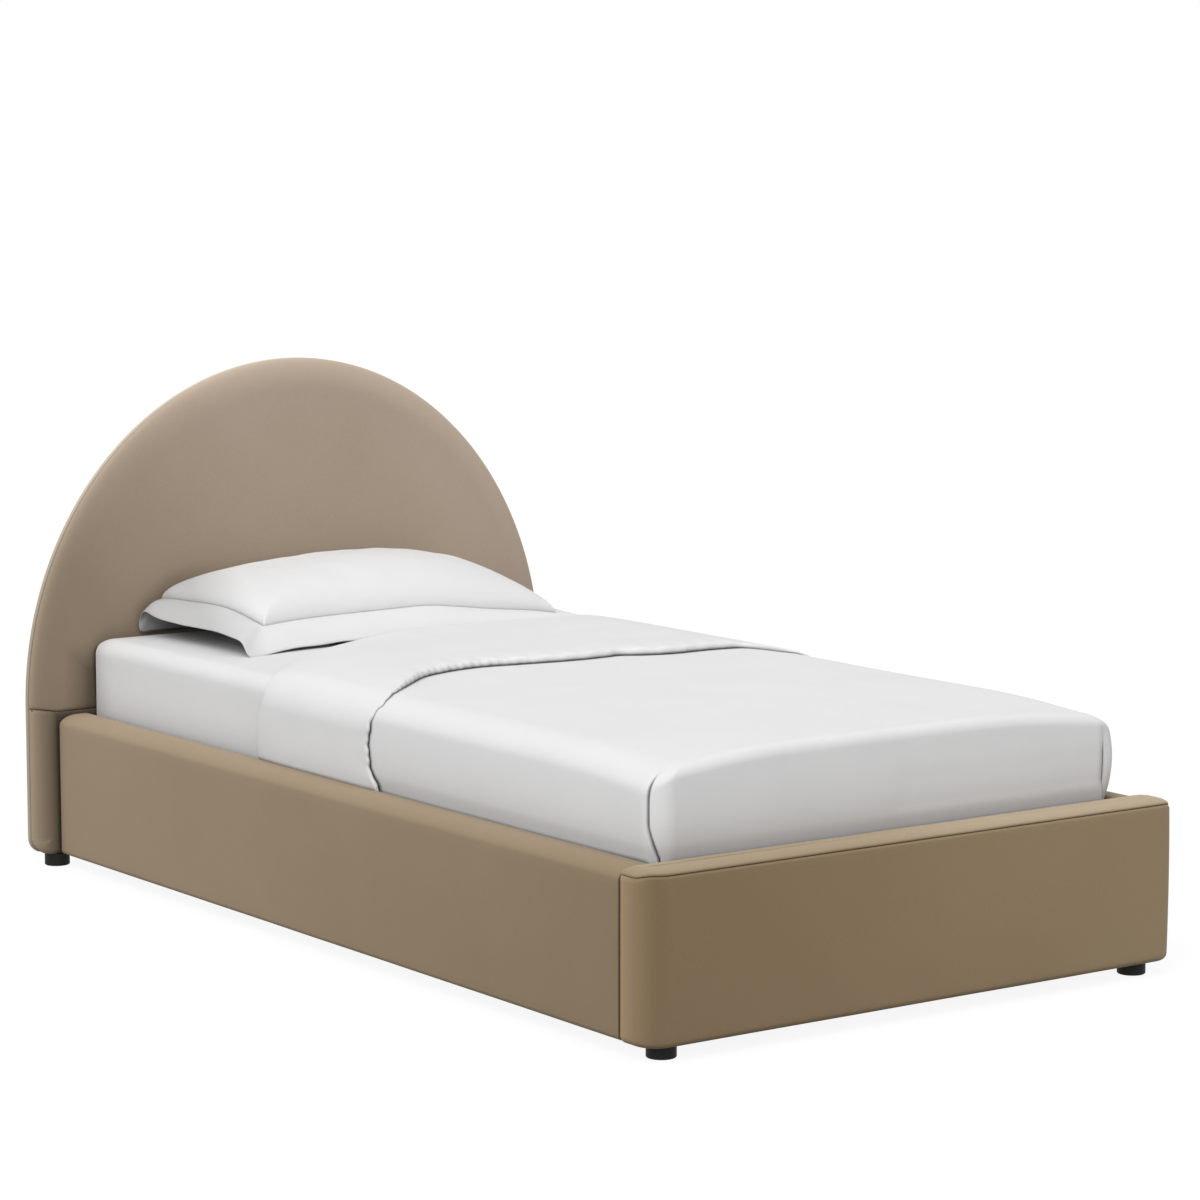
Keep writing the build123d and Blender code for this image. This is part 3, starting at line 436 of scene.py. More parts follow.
inward = np.linspace(0, 1, 30)[1:-1] ** 1.1
upper_rim = upper_panel_rings(roll_inset, seam_inset)
upper_middle = np.array([0.0, 0.60])
upper_front = np.concatenate([upper_rim, drawn_in(upper_rim[-1:], upper_middle, inward)])
tucked_inset = np.array([[0.0022], [0.0060], [0.0095], [0.0095]])
upper_back = upper_panel_rings(tucked_inset, np.full((4, 1), 0.0008))
upper_depths = np.full(upper_back.shape[:2], panel_front)
upper_depths[:3, :220] = band_front + np.array([[-0.0020], [-0.0003], [0.0]])
upper_cushion = stuffed_panel("headboard_upper_cushion", upper_front, upper_back, upper_depths, arch_fall,
                              velvet_headboard)
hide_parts("headboard_upper_cover", "headboard_foam")


def lower_panel_rings(rim_inset, top_inset):
    """The lower panel's outline drawn in: a rectangle under the seam with its two lower corners rounded."""
    round_corner = np.maximum(board_corner - rim_inset, 0.002)
    square_corner = np.full_like(rim_inset, 0.001)
    return round_cornered(
        -half_board + rim_inset, half_board - rim_inset, board_foot + rim_inset, seam_height - top_inset,
        [round_corner, square_corner, square_corner, round_corner], side_points=60)


def lower_fall(rings):
    """The lower panel's rolled edges: wide at the sides, narrow at the foot.

    Round its two lower corners the width follows the angle; elsewhere the deeper of the two rolls counts.
    """
    side_width, foot_width, foot_depth = 0.036, 0.010, roll_depth - 0.022
    across = np.abs(rings[..., 0]) - (half_board - board_corner)
    down = board_foot + board_corner - rings[..., 1]
    outside = np.hypot(np.maximum(across, 0), np.maximum(down, 0)) + np.minimum(np.maximum(across, down), 0)
    distance = np.maximum(board_corner - outside, 0)
    angle = np.arctan2(np.maximum(down, 0), np.maximum(across, 1e-9))
    turned = np.where(across > 0, angle / (math.pi / 2), 1.0)
    turned = np.where((across <= 0) & (down <= 0), 0.0, turned)
    rounding = quarter_round(distance, side_width - (side_width - foot_width) * turned,
                             roll_depth - (roll_depth - foot_depth) * turned)
    side_roll = quarter_round(np.maximum(board_corner - across, board_corner), side_width, roll_depth)
    return np.maximum(rounding, side_roll)


lower_rim = lower_panel_rings(roll_inset, seam_inset)
half_spine, spine_height = 0.45, 0.18
lower_spine = np.stack([np.clip(lower_rim[-1:, :, 0], -half_spine, half_spine),
                        np.full((1, lower_rim.shape[1]), spine_height)], axis=-1)
lower_front = np.concatenate([lower_rim, drawn_in(lower_rim[-1:], lower_spine, inward[::3])])
lower_back = lower_panel_rings(tucked_inset, np.full((4, 1), 0.0008))
lower_depths = np.where(lower_back[..., 1] > seam_height - 0.004, panel_front,
                        band_front + np.array([[-0.0020], [-0.0003], [0.0], [0.0]]))
lower_depths[3] = panel_front
rail_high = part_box("side_rail_cover_right")[1]
# Painted shade: the lower panel darkens behind and beside the rails' ends, and in its seams and joints
velvet_lower = velvet("velvet_lower_panel", *headboard_tones_and_shade, beside=0.75, crevice=0.4,
                      shaded_by_part=(rail_high.x, 0.306, 0.045, 0.3))
lower_cushion = stuffed_panel("headboard_lower_cushion", lower_front, lower_back, lower_depths, lower_fall,
                              velvet_lower)
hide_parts("headboard_lower_cover")


def half_moon(inset):
    """The whole outline drawn in: half an ellipse, straight sides, two round corners and a straight foot."""
    half = half_board - inset
    low = board_foot + inset
    corner = np.maximum(board_corner - inset, 0.002)
    turn = np.linspace(0, math.pi, 221)
    share = np.linspace(0, 1, 16)[1:-1]
    quarter = np.linspace(0, math.pi / 2, 10)
    side_fall = (arch_spring - low - corner) * share
    arch = np.stack([half * np.cos(turn), arch_spring + (arch_rise - inset) * np.sin(turn)], axis=-1)
    left = np.stack([-half + 0 * side_fall, arch_spring - side_fall], axis=-1)
    left_corner = np.stack([-half + corner * (1 - np.cos(quarter)),
                            low + corner * (1 - np.sin(quarter))], axis=-1)
    foot_run = (half - corner) * np.linspace(-1, 1, 62)[1:-1]
    foot = np.stack([foot_run, low + 0 * foot_run], axis=-1)
    right_corner = np.stack([-left_corner[:, ::-1, 0], left_corner[:, ::-1, 1]], axis=-1)
    right = np.stack([-left[:, ::-1, 0], left[:, ::-1, 1]], axis=-1)
    return np.concatenate([arch, left, left_corner, foot, right_corner, right], axis=1)


# The band's section from its front seam round the back hem, as inset and distance before the back face
band_section = np.array([
    (0.0066, 0.0168), (0.0038, 0.0156), (0.0014, 0.0134), (0.0002, 0.0106), (-0.0004, 0.0076),
    (0.0002, 0.0044), (0.0014, 0.0016), (0.0040, 0.0), (0.0110, -0.0004), (0.0112, 0.0006),
    (0.0046, 0.0014), (0.0034, 0.0046), (0.0034, 0.0110), (0.0064, 0.0130)])
# Painted light: the band's velvet is lighter than the panels' and lighter higher up
velvet_band = velvet("velvet_band", "#d2c6b4", "#b5a995", (0.0, 0.0, 1.4), -0.4)
band_grid = standing(half_moon(band_section[:, :1]), board_back - band_section[:, 1:])
edge_band = skin("headboard_edge_velvet", band_grid, velvet_band, wrap_rows=True, wrap_columns=True)
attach(edge_band, "frame")
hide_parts("headboard_edge_band")

# Spunbonded polypropylene: black, matt, with flat bonding points 1 mm apart, drawn at 4 mm
spunbond = two_toned("spunbonded_cloth", "ShaderNodeTexVoronoi", {"Scale": 250.0}, "Distance",
                     ("#1c1c1d", "#2d2d2f"), (0.4, 0.0004), {"Roughness": 0.85})

cloth_inset, cloth_middle = 0.0058, np.array([0.0, 0.50])
cloth_rim = half_moon(np.array([[cloth_inset]]))
cloth_rings = np.concatenate([cloth_rim, drawn_in(cloth_rim, cloth_middle, np.linspace(0, 1, 26)[1:])])
cloth_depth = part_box("headboard_back_cloth")[1].y - 0.0002 + 0.0001 * ripple(cloth_rings, 0.2, 3)
back_cloth = skin("headboard_back_lining", standing(cloth_rings, cloth_depth), spunbond, wrap_columns=True)
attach(back_cloth, "frame")
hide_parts("headboard_back_cloth")


# Side rails: a timber board with foam on three sides, in a velvet sleeve pulled tight and
# stapled underneath. The outer shoulder is a soft round, and both ends butt up to the end boards.

# Painted shade: the rails' velvet is darker towards the foot
velvet_rail = velvet("velvet_rail", "#9f8c75", "#928067", (0.0, 0.6, 0.0), 0.55)


def rail_sleeve(side):
    """The rail as rings along its length: a box with round edges, and at each end a pad that butts up.

    Outside the pad the end stands back, 9 mm at the foot and 3 mm at the head, so each joint shows as a dark
    line. Its outer shoulder is a quarter ellipse, and its outer face swells by a sine of its height.
    """
    low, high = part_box(f"side_rail_cover_{side}")
    inner, outer = sorted((abs(low.x), abs(high.x)))
    foot_end, head_end = low.y + 0.0090, high.y - 0.0030
    foot_pad, head_pad = low.y + 0.0015, high.y - 0.0005
    end_round, pad_inset = 0.002, 0.0080
    turn = np.linspace(0, math.pi / 2, 8)
    end_inset = np.concatenate([[0.0300, pad_inset + 0.0005, pad_inset], end_round * (1 - np.sin(turn))])
    rounding = end_round * (1 - np.cos(turn))
    foot_place = np.concatenate([[foot_pad, foot_pad, foot_end], foot_end + rounding])
    head_place = np.concatenate([[head_pad, head_pad, head_end], head_end - rounding])
    along = np.linspace(foot_end + end_round, head_end - end_round, 92)[1:-1]
    inset = np.concatenate([end_inset, 0 * along, end_inset[::-1]])[:, None]
    place = np.concatenate([foot_place, along, head_place[::-1]])[:, None]
    shoulder_width, shoulder_drop, inner_round, under_round = 0.040, 0.020, 0.010, 0.008
    shoulder = (np.maximum(shoulder_width - inset, 0.002), np.maximum(shoulder_drop - inset, 0.001))
    inner_corner = np.maximum(inner_round - inset, 0.001)
    radii = [inner_corner, shoulder, inner_corner, np.maximum(under_round - inset, 0.001)]
    rings = round_cornered(inner + inset, outer - inset, low.z + inset, high.z - inset, radii,
                           corner_points=10, side_points=16)
    across, up = rings[..., 0], rings[..., 1]
    height_share = ramp(up - low.z, high.z - low.z)
    outer_share = ramp(across - inner, outer - inner) ** 3
    end_share = ramp(np.minimum(place - foot_end, head_end - place), 0.04)
    points = standing(rings, place)
    soft = 0.0010 * ripple(points, 0.27, 11)
    swell_height = 0.0026
    points[..., 0] += (swell_height * np.sin(math.pi * height_share) + soft) * outer_share * end_share
    points[..., 2] += 0.0008 * ripple(points, 0.22, 12) * np.clip(height_share * 4 - 3, 0, 1) * end_share
    if side == "left":
        points[..., 0] *= -1
    return points


for side in ("right", "left"):
    sleeve = skin(f"side_rail_sleeve_{side}", rail_sleeve(side), velvet_rail, wrap_columns=True, poles=True)
    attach(sleeve, "frame")
    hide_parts(f"side_rail_cover_{side}", f"side_rail_padding_{side}")


# Footboard: ply boards between two round corner blocks, thin foam, and velvet in two pieces.
# One piece wraps the front and both ends, the other lies along the top, and a seam joins them
# just below the rim.

# Painted shade and light: the footboard's velvet is darker towards the left, and lighter on its ends towards
# the rails
velvet_footboard = velvet("velvet_footboard", "#a48f71", "#988265", (0.95, 0.0, 0.0), 0.45,
                          lit_from=-0.982)
# Painted light and shade: the top band's velvet is lighter than the front's, and darker towards the left
velvet_top = velvet("velvet_footboard_top", "#b9a88f", "#a18f76", (1.1, 0.0, 0.0), 0.15)
end_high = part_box("footboard_top_cover")[1]
front_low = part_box("footboard_front_cover")[0]
foot_low = front_low.z
half_end = end_high.x
end_front, end_back = front_low.y, end_high.y
top_seam = end_high.z - 0.0025


def at_height(plan, up):
    """Points of a plan, across and along, each with its height."""
    return np.concatenate([plan, np.broadcast_to(up, plan.shape[:2])[..., None]], axis=-1)


def footboard_ring(inset):
    """The footboard's plan drawn in: broad round corners at the front, small ones where the rails meet it."""
    front_round, back_round = 0.045, 0.006
    front_corner = np.maximum(front_round - inset, 0.001)
    back_corner = np.maximum(back_round - inset, 0.001)
    return round_cornered(
        -half_end + inset, half_end - inset, end_front + inset, end_back - inset,
        [front_corner, back_corner, back_corner, front_corner], corner_points=12, side_points=70)


def rounded_over(grid):
    """Both ends' top corners rounded over by a quarter ellipse, 18 by 12 mm left and twice that right."""
    size = np.where(grid[..., 0] < 0, 1, 2)
    fades_over = 0.05
    fall = quarter_round(half_end - np.abs(grid[..., 0]), 0.018 * size, 0.012 * size)
    grid[..., 2] -= fall * ramp(grid[..., 2] - top_seam + fades_over, fades_over)
    return grid


turn = np.linspace(0, math.pi / 2, 8)
wall_share = np.linspace(0, 1, 30)[1:-1]
foot_round, seam_width, seam_drop, under_top = 0.012, 0.0050, 0.0055, top_seam - 0.0045
wall_inset = np.concatenate([[0.034, 0.022], foot_round * (1 - np.sin(turn)), 0 * wall_share,
                             seam_width * (1 - np.cos(turn)), [0.0072, 0.0090, 0.024, 0.034]])[:, None]
wall_low, wall_high = foot_low + foot_round, top_seam - seam_drop
wall_up = np.concatenate([
    [foot_low, foot_low], foot_low + foot_round * (1 - np.cos(turn)),
    wall_low + (wall_high - wall_low) * wall_share, wall_high + seam_drop * np.sin(turn),
    [top_seam - 0.0014, under_top, under_top, under_top]])[:, None]
swell = 0.0022 * np.sin(math.pi * ramp(wall_up - foot_low, top_seam - foot_low))
wall_grid = rounded_over(at_height(footboard_ring(wall_inset), wall_up))
front_facing = ramp(end_back - 0.02 - wall_grid[..., 1], 0.04)
wall_grid[..., 1] -= (swell + 0.0007 * ripple(wall_grid, 0.25, 21)) * front_facing
front_wrap = skin("footboard_front_wrap", wall_grid, velvet_footboard, wrap_columns=True, poles=True)
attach(front_wrap, "frame")
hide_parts("footboard_front_cover", "footboard_padding")

# The top band's section from under its seam up and over, as inset and height above the seam
top_section = np.array([
    (0.034, -0.0030), (0.020, -0.0030), (0.0090, -0.0028), (0.0050, -0.0012), (0.0026, 0.0006),
    (0.0018, 0.0022), (0.0026, 0.0040), (0.0052, 0.0058), (0.0095, 0.0074), (0.0150, 0.0085),
    (0.0220, 0.0091), (0.0300, 0.0094), (0.0370, 0.0095)])
top_grid = at_height(footboard_ring(top_section[:, :1]), top_seam + top_section[:, 1:])
top_grid[..., 2] += 0.0005 * ripple(top_grid, 0.16, 8) * (top_section[:, 1:] > 0)
top_grid = rounded_over(top_grid)
top_band = skin("footboard_top_band", top_grid, velvet_top, wrap_columns=True, poles=True)
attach(top_band, "frame")
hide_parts("footboard_top_cover")


# Mattress and fitted sheet: a pocket-spring mattress in quilted ticking, and over it a white
# cotton percale sheet pulled tight by the elastic under its edges.

mattress_low, mattress_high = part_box("fitted_sheet")
half_mattress = mattress_high.x
mattress_foot, mattress_head = mattress_low.y, mattress_high.y
mattress_under, mattress_top = mattress_low.z, mattress_high.z


def percale(name, shade, fold, crevice=0.3, dim_end=False):
    """Cotton percale: a matt plain weave with faint shadowed creases, and painted shade beside the frame and
    under hems.

    With dim_end the cloth also gets painted shade towards the headboard's left side, where less light comes
    in.
    """
    cloth = bare_material(name)
    place = add(cloth, "ShaderNodeTexCoord", {})
    creases = add(cloth, "ShaderNodeTexNoise", {
        "Vector": place.outputs["Object"], "Scale": 7.0, "Detail": 3.0, "Distortion": 0.6})
    # The thread pitch is 0.25 mm; it is drawn at 2.5 mm, or it would not show at this size
    weave = add(cloth, "ShaderNodeTexNoise", {
        "Vector": place.outputs["Object"], "Scale": 400.0, "Detail": 1.0})
    tone = add(cloth, "ShaderNodeMix", {
        "Factor": creases.outputs["Fac"], 6: linear(fold), 7: linear(shade)}, data_type="RGBA")
    # Painted shade from ambient occlusion, beside the frame and under hems
    shut_in = add(cloth, "ShaderNodeMath", {
        0: painted_occlusion_shade(cloth, 0.09, 0.3, 0.64), 1: painted_occlusion_shade(cloth, 0.008, 0.35, crevice)}, operation="MULTIPLY")
    # Painted shade towards the headboard's left side
    if dim_end:
        towards_end = add(cloth, "ShaderNodeVectorMath", {0: place.outputs["Object"], 1: (1.0, -0.35, 0.0)},
                          operation="DOT_PRODUCT")
        dimness = add(cloth, "ShaderNodeMapRange", {
            "Value": towards_end.outputs["Value"], "From Min": -0.62, "From Max": -0.5225,
            "To Min": 0.68, "To Max": 1.0})
        shut_in = add(cloth, "ShaderNodeMath", {
            0: shut_in.outputs[0], 1: dimness.outputs[0]}, operation="MULTIPLY")
    shaded = add(cloth, "ShaderNodeMix", {
        "Factor": 1.0, 6: tone.outputs[2], 7: shut_in.outputs[0]}, data_type="RGBA", blend_type="MULTIPLY")
    crease_relief = add(cloth, "ShaderNodeBump", {
        "Height": creases.outputs["Fac"], "Strength": 0.25, "Distance": 0.004})
    relief = add(cloth, "ShaderNodeBump", {
        "Height": weave.outputs["Fac"], "Strength": 0.12, "Distance": 0.0004,
        "Normal": crease_relief.outputs[0]})
    surface = add(cloth, "ShaderNodeBsdfPrincipled", {
        "Base Color": shaded.outputs[2], "Roughness": 0.85, "Specular IOR Level": 0.2, "Sheen Weight": 0.08,
        "Normal": relief.outputs[0]})
    add(cloth, "ShaderNodeOutputMaterial", {"Surface": surface.outputs[0]})
    return cloth


def mattress_skin(growth):
    """Rings from the underside out, up the sides and over the top, with quarter-circle edges.

    The corners in plan are rounder at the foot than at the head. The top is crowned by a few millimetres:
    the crown is 1 minus the fourth power of each share across and along.
    """
    edge, border = 0.032 + growth, 0.001
    foot_round, head_round = 0.020, 0.008
    spine_gap, crown_height, crown_fades_over = 0.45, 0.004, 0.02
    turn = np.linspace(0, math.pi / 2, 9)
    side = np.linspace(0, 1, 14)[1:-1]
    inset = np.concatenate([np.linspace(0.120, edge, 5)[:-1], edge * (1 - np.sin(turn)), 0 * side,
                            edge * (1 - np.cos(turn))])[:, None] - growth
    low, high = mattress_under + border - growth, mattress_top - border + growth
    up = np.concatenate([
        np.full(4, low), low + edge * (1 - np.cos(turn)),
        low + edge + (high - low - 2 * edge) * side, high - edge * (1 - np.sin(turn))])[:, None]
    foot_corner, head_corner = np.maximum(foot_round - inset, 0.004), np.maximum(head_round - inset, 0.003)
    rings = round_cornered(
        -half_mattress - border + inset, half_mattress + border - inset,
        mattress_foot + border + inset, mattress_head - inset,
        [foot_corner, head_corner, head_corner, foot_corner], corner_points=12, side_points=60)
    spine = rings[-1:].copy()
    spine[..., 0] = 0.0
    spine[..., 1] = np.clip(spine[..., 1], mattress_foot + spine_gap, mattress_head - spine_gap)
    top = drawn_in(rings[-1:], spine, np.linspace(0, 1, 24)[1:])
    grid = np.concatenate([at_height(rings, up), at_height(top, high)])
    across_share = grid[..., 0] / half_mattress
    along_share = (grid[..., 1] - (mattress_foot + mattress_head) / 2) / ((mattress_head - mattress_foot) / 2)
    crown = crown_height * (1 - across_share ** 4) * (1 - along_share ** 4)
    grid[..., 2] += crown * ramp(grid[..., 2] - high + crown_fades_over, crown_fades_over)
    return grid


# Ticking: a knitted cover, quilted in a grid of about 110 mm
ticking = two_toned("quilted_ticking", "ShaderNodeTexVoronoi", {"Scale": 9.0, "Randomness": 0.0}, "Distance",
                    ("#cfccc4", "#e8e5de"), (0.8, 0.02), {"Roughness": 0.8}, feature="DISTANCE_TO_EDGE")
skin_gap = 0.0008
mattress = skin("quilted_mattress", mattress_skin(-skin_gap), ticking, wrap_columns=True, poles=True)
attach(mattress, "mattress")
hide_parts("mattress")

sheet_cotton = percale("percale_sheet", "#eaeaea", "#e4e4e5", crevice=0.7)
fitted_sheet = skin("fitted_percale_sheet", mattress_skin(skin_gap)[1:], sheet_cotton, wrap_columns=True)
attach(fitted_sheet, "mattress")
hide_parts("fitted_sheet")


# Duvet: a white cotton cover over a thin quilt, tucked down between mattress and frame at the
# sides and foot, with folded corners. Its head end is turned back over itself on the slant, and
# the turned part ends in a soft rolled hem.

duvet_cotton = percale("percale_duvet", "#ededed", "#e6e6e7")
duvet_low, duvet_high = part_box("duvet")
half_duvet = duvet_high.x
duvet_foot = duvet_low.y
tuck_height = duvet_low.z
left_head, spine_head = 0.080, 0.300


def bed_top(across):
    """Height of the made bed under the duvet: the sheet's top with its low crown."""
    return mattress_top + 0.0035 * (1 - ramp(np.abs(across), half_mattress) ** 4)


def duvet_path(side_inset, foot_inset, corner):
    """A U in plan, drawn in: down the left side from the head, round the foot, and back up the right side."""
    half, foot = half_duvet - side_inset, duvet_foot + foot_inset
    turn = np.linspace(0, math.pi / 2, 61)
    run = np.linspace(left_head, foot + corner, 100)[:-1]
    left = np.stack([np.full_like(run, -half), run], axis=-1)
    bend = np.stack([-half + corner - corner * np.cos(turn), foot + corner - corner * np.sin(turn)], axis=-1)
    half_foot = np.linspace(-half + corner, 0, 46)[1:]
    across = np.stack([half_foot, np.full_like(half_foot, foot)], axis=-1)
    left_half = np.concatenate([left, bend, across])
    return np.concatenate([left_half, left_half[-2::-1] * [-1, 1]])


def duvet_grid():
    """The duvet as runs across its edge: from the tucked hem up the side, over the shoulder, in to a spine.

    Shoulders are quarter ellipses, broad at the sides and tight at the foot. At the left foot corner the
    side's cloth laps over the foot's, and at the right one the foot's over the side's: a step and a narrow
    groove there, both functions of the angle turned.
    """
    corner_round, side_shoulder, foot_shoulder, quilt_rise = 0.036, 0.060, 0.020, 0.0125
    rim = duvet_path(0.0, 0.0, corner_round)
    inner = duvet_path(side_shoulder, foot_shoulder, corner_round - 0.010)
    along_rim = np.gradient(rim, axis=0)
    along_rim /= np.linalg.norm(along_rim, axis=1, keepdims=True)
    outward = np.stack([along_rim[:, 1], -along_rim[:, 0]], axis=-1)
    spine = np.stack([0 * rim[:, 0], np.interp(rim[:, 1], [duvet_foot, duvet_foot + 0.3, left_head],
                                               [duvet_foot + 0.42, duvet_foot + 0.52, spine_head])], axis=-1)
    rise = np.linspace(0, math.pi / 2, 14)[:, None]
    shoulder_plan = rim + (inner - rim) * (1 - np.cos(rise))[..., None]
    top_plan = drawn_in(inner[None], spine[None], np.linspace(0, 1, 36)[1:])
    plan = np.concatenate([shoulder_plan, top_plan])
    top = bed_top(plan[..., 0]) + quilt_rise
    top += 0.006 * (1 - (plan[..., 0] / half_duvet) ** 2)
    corner_gap = np.hypot(np.abs(plan[..., 0]) - half_duvet, plan[..., 1] - duvet_foot)
    top -= 0.012 * np.exp(-(corner_gap / 0.14) ** 2)
    top[:len(rise)] -= (0.020 + 0.022 * outward[:, 0] ** 2) * (1 - np.sin(rise))
    side_up = tuck_height + (top[:1] - tuck_height) * np.linspace(0, 1, 30)[:-1, None]
    side_plan = np.broadcast_to(rim, side_up.shape + (2,))
    plan = np.concatenate([side_plan, plan])
    up = np.concatenate([side_up, top])
    turned = np.arctan2(np.abs(outward[:, 1]), np.abs(outward[:, 0]))
    near_corner = np.exp(-np.maximum(rim[:, 1] - duvet_foot - 0.05, 0) / 0.08)
    lap_top, slit_low, slit_high = 0.458, 0.335, 0.41
    below_shoulder = ramp(lap_top - up, 0.03)
    left = rim[:, 0] < 0
    # Where each corner's lap lies, as the angle turned in radians, changes with height
    left_lap = 0.38 + 0.14 * ramp(up - 0.41, 0.045) + 0.46 * ramp(0.362 - up, 0.055) ** 1.3
    right_lap = 1.50 - 0.25 * ramp(0.34 - up, 0.035)
    lap_place = np.where(left, left_lap, right_lap)
    side_over = ramp(lap_place - turned, 0.05)
    slit = ramp(up - slit_low, 0.01) * ramp(slit_high - up, 0.02)
    lap = np.where(left, 0.0030 * side_over * near_corner, -0.0030 * side_over * near_corner)
    groove = np.where(left, 0.0045 + 0.004 * ramp(0.36 - up, 0.03), 0.0030 + 0.0065 * slit)
    groove = groove * np.exp(-((turned - lap_place) / 0.045) ** 2)
    belly = 0.0045 * np.sin(math.pi * ramp(up - 0.312, 0.15)) - 0.004 * ramp(0.33 - up, 0.05)
    corner_belly = np.where(left, 0.0, 0.007) * near_corner * np.sin(math.pi * ramp(up - 0.30, 0.15))
    corner_belly = corner_belly * ramp(1.4 - turned, 0.5)
    plan = plan + outward * (belly + corner_belly + (lap - groove) * below_shoulder)[..., None]
    grid = at_height(plan, up)
    grid[..., 2] += 0.0014 * ripple(grid, 0.36, 31) * ramp(grid[..., 2] - 0.43, 0.02)
    return grid


duvet = skin("percale_duvet", duvet_grid(), duvet_cotton)
duvet_wall = duvet.modifiers.new("quilt_thickness", "SOLIDIFY")
duvet_wall.thickness = 0.0095
duvet_wall.offset = -1.0
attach(duvet, "duvet")
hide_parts("duvet")

# The turned-down part, measured across the bed along its surface. Places on its free hem were read off
# the photograph and carried onto that surface, and some were then moved.
hem_places = np.array([
    (-0.660, -0.140), (-0.6135, -0.115), (-0.5888, -0.094), (-0.5641, -0.091), (-0.5393, -0.088),
    (-0.5233, -0.092), (-0.5045, -0.096), (-0.4870, -0.101), (-0.4637, -0.099), (-0.3849, -0.036),
    (-0.3177, 0.017), (-0.2598, 0.040), (-0.2081, 0.051), (-0.1582, 0.053), (-0.0896, 0.038),
    (-0.0116, 0.023), (0.0431, 0.019), (0.0950, 0.023), (0.1300, 0.027), (0.1734, 0.007),
    (0.2354, -0.005), (0.3127, 0.002), (0.3853, 0.003), (0.4100, -0.009), (0.4252, -0.040),
    (0.4350, -0.077), (0.4491, -0.100), (0.5000, -0.128), (0.5600, -0.138), (0.660, -0.145)])
fold_places = np.array([
    (-0.660, 0.304), (-0.6265, 0.304), (-0.5845, 0.305), (-0.5505, 0.303), (-0.508, 0.288), (-0.460, 0.305),
    (-0.412, 0.352), (-0.334, 0.426), (-0.240, 0.500), (-0.172, 0.544), (0.013, 0.640), (0.200, 0.650),
    (0.450, 0.645), (0.660, 0.640)])
flap_shoulder = 0.050
flap_half = half_duvet - 0.004
flat_half = flap_half - flap_shoulder
quarter_length = math.pi / 2 * flap_shoulder


def draped(measure, along, lift):
    """A point on the made bed from its measure across it: flat, then a quarter circle, then straight down.

    lift is how far the point stands off the sheet, square to it.
    """
    side = np.sign(measure)
    span = np.abs(measure)
    angle = np.clip((span - flat_half) / flap_shoulder, 0, math.pi / 2)
    down = np.clip(span - flat_half - quarter_length, 0, None)
    across = side * (np.minimum(span, flat_half) + (flap_shoulder + lift) * np.sin(angle))
    top = bed_top(across) - flap_shoulder
    up = top + (flap_shoulder + lift) * np.cos(angle) - down
    return np.stack([across, along + 0 * across, up], axis=-1)


def catmull_rom(before, here, there, after, part):
    """The cubic from here to there, whose slope at each end is half the step between its two neighbours."""
    return 0.5 * (2 * here + (there - before) * part + (2 * before - 5 * here + 4 * there - after) * part ** 2
                  + (3 * here - before - 3 * there + after) * part ** 3)


def smooth_curve(places, at):
    """A smooth line through places, at shares of the way from the first place to the last."""
    count = len(places)
    spot = at * (count - 1)
    first = np.clip(spot.astype(int), 0, count - 2)
    part = (spot - first)[:, None]
    padded = np.vstack([2 * places[0] - places[1], places, 2 * places[-1] - places[-2]])
    return catmull_rom(*(padded[first + step] for step in range(4)), part)


def turned_down_grid():
    """The folded-back end as a closed loop: rolled hem, upper face, thin fold, and under face back again."""
    columns, half_measure = 360, 0.655
    at = np.linspace(0, 1, columns)
    hem = smooth_curve(hem_places, at)
    fold = smooth_curve(fold_places, at)
    measure = np.linspace(-half_measure, half_measure, columns)
    hem_y = np.interp(measure, hem[:, 0], hem[:, 1])
    fold_y = np.interp(measure, fold[:, 0], fold[:, 1])
    on_top = ramp(flat_half + 0.03 - np.abs(measure), 0.12)
    on_top = on_top * on_top * (3 - 2 * on_top)
    line = measure[:, None]
    even_roll = 0.0038 + 0.0050 * on_top
    roll = even_roll * (1 + 0.3 * ripple(line, 0.052, 18))
    turn = np.linspace(-math.pi / 2, math.pi / 2, 15)[:, None]
    gathered = np.clip((0.0 - measure) / 0.15, 0.15, 1)
    puckers = (0.0036 * ripple(line, 0.043, 17) + 0.0028 * ripple(line, 0.019, 19)) * gathered
    roll_along = hem_y + puckers + roll * (1 - np.cos(turn))
    under = np.interp(np.abs(measure), [0.0, 0.25, 0.44, 0.50, half_measure],
                      [0.0160, 0.0145, 0.0115, 0.0090, 0.0065])
    roll_lift = under + roll * (1 + np.sin(turn))
    share = np.linspace(0, 1, 40)[1:-1, None]
    face_along = (hem_y + roll) + (fold_y - hem_y - roll) * share
    from_fold = fold_y - face_along
    full, at_fold = under + 2 * even_roll, 0.0060
    slack = at_fold + (full - at_fold) * (1 - np.exp(-from_fold / (0.05 + 0.07 * on_top)))
    hem_swell = 0.003 * on_top * np.exp(-((face_along - hem_y - 0.05) / 0.05) ** 2)
    face_lift = slack + hem_swell + 2 * (roll - even_roll) * np.exp(-(face_along - hem_y - roll) / 0.02)
    bend = np.linspace(math.pi / 2, -math.pi / 2, 7)[:, None]
    fold_radius, fold_middle, back_face = 0.0022, 0.0035, 0.0014
    fold_along = fold_y + fold_radius * np.cos(bend)
    fold_lift = fold_middle + fold_radius * np.sin(bend)
    back_share = np.linspace(1, 0, 24)[1:-1, None]
    back_along = (hem_y + roll) + (fold_y - hem_y - roll) * back_share
    back_lift = back_face + (under - back_face) * ramp(0.55 - back_share, 0.15) + 0 * hem_y
    along = np.concatenate([roll_along, face_along, fold_along, back_along])
    lift = np.concatenate([roll_lift, face_lift, fold_lift + 0 * hem_y, back_lift])
    return draped(np.broadcast_to(measure, along.shape), along, lift)


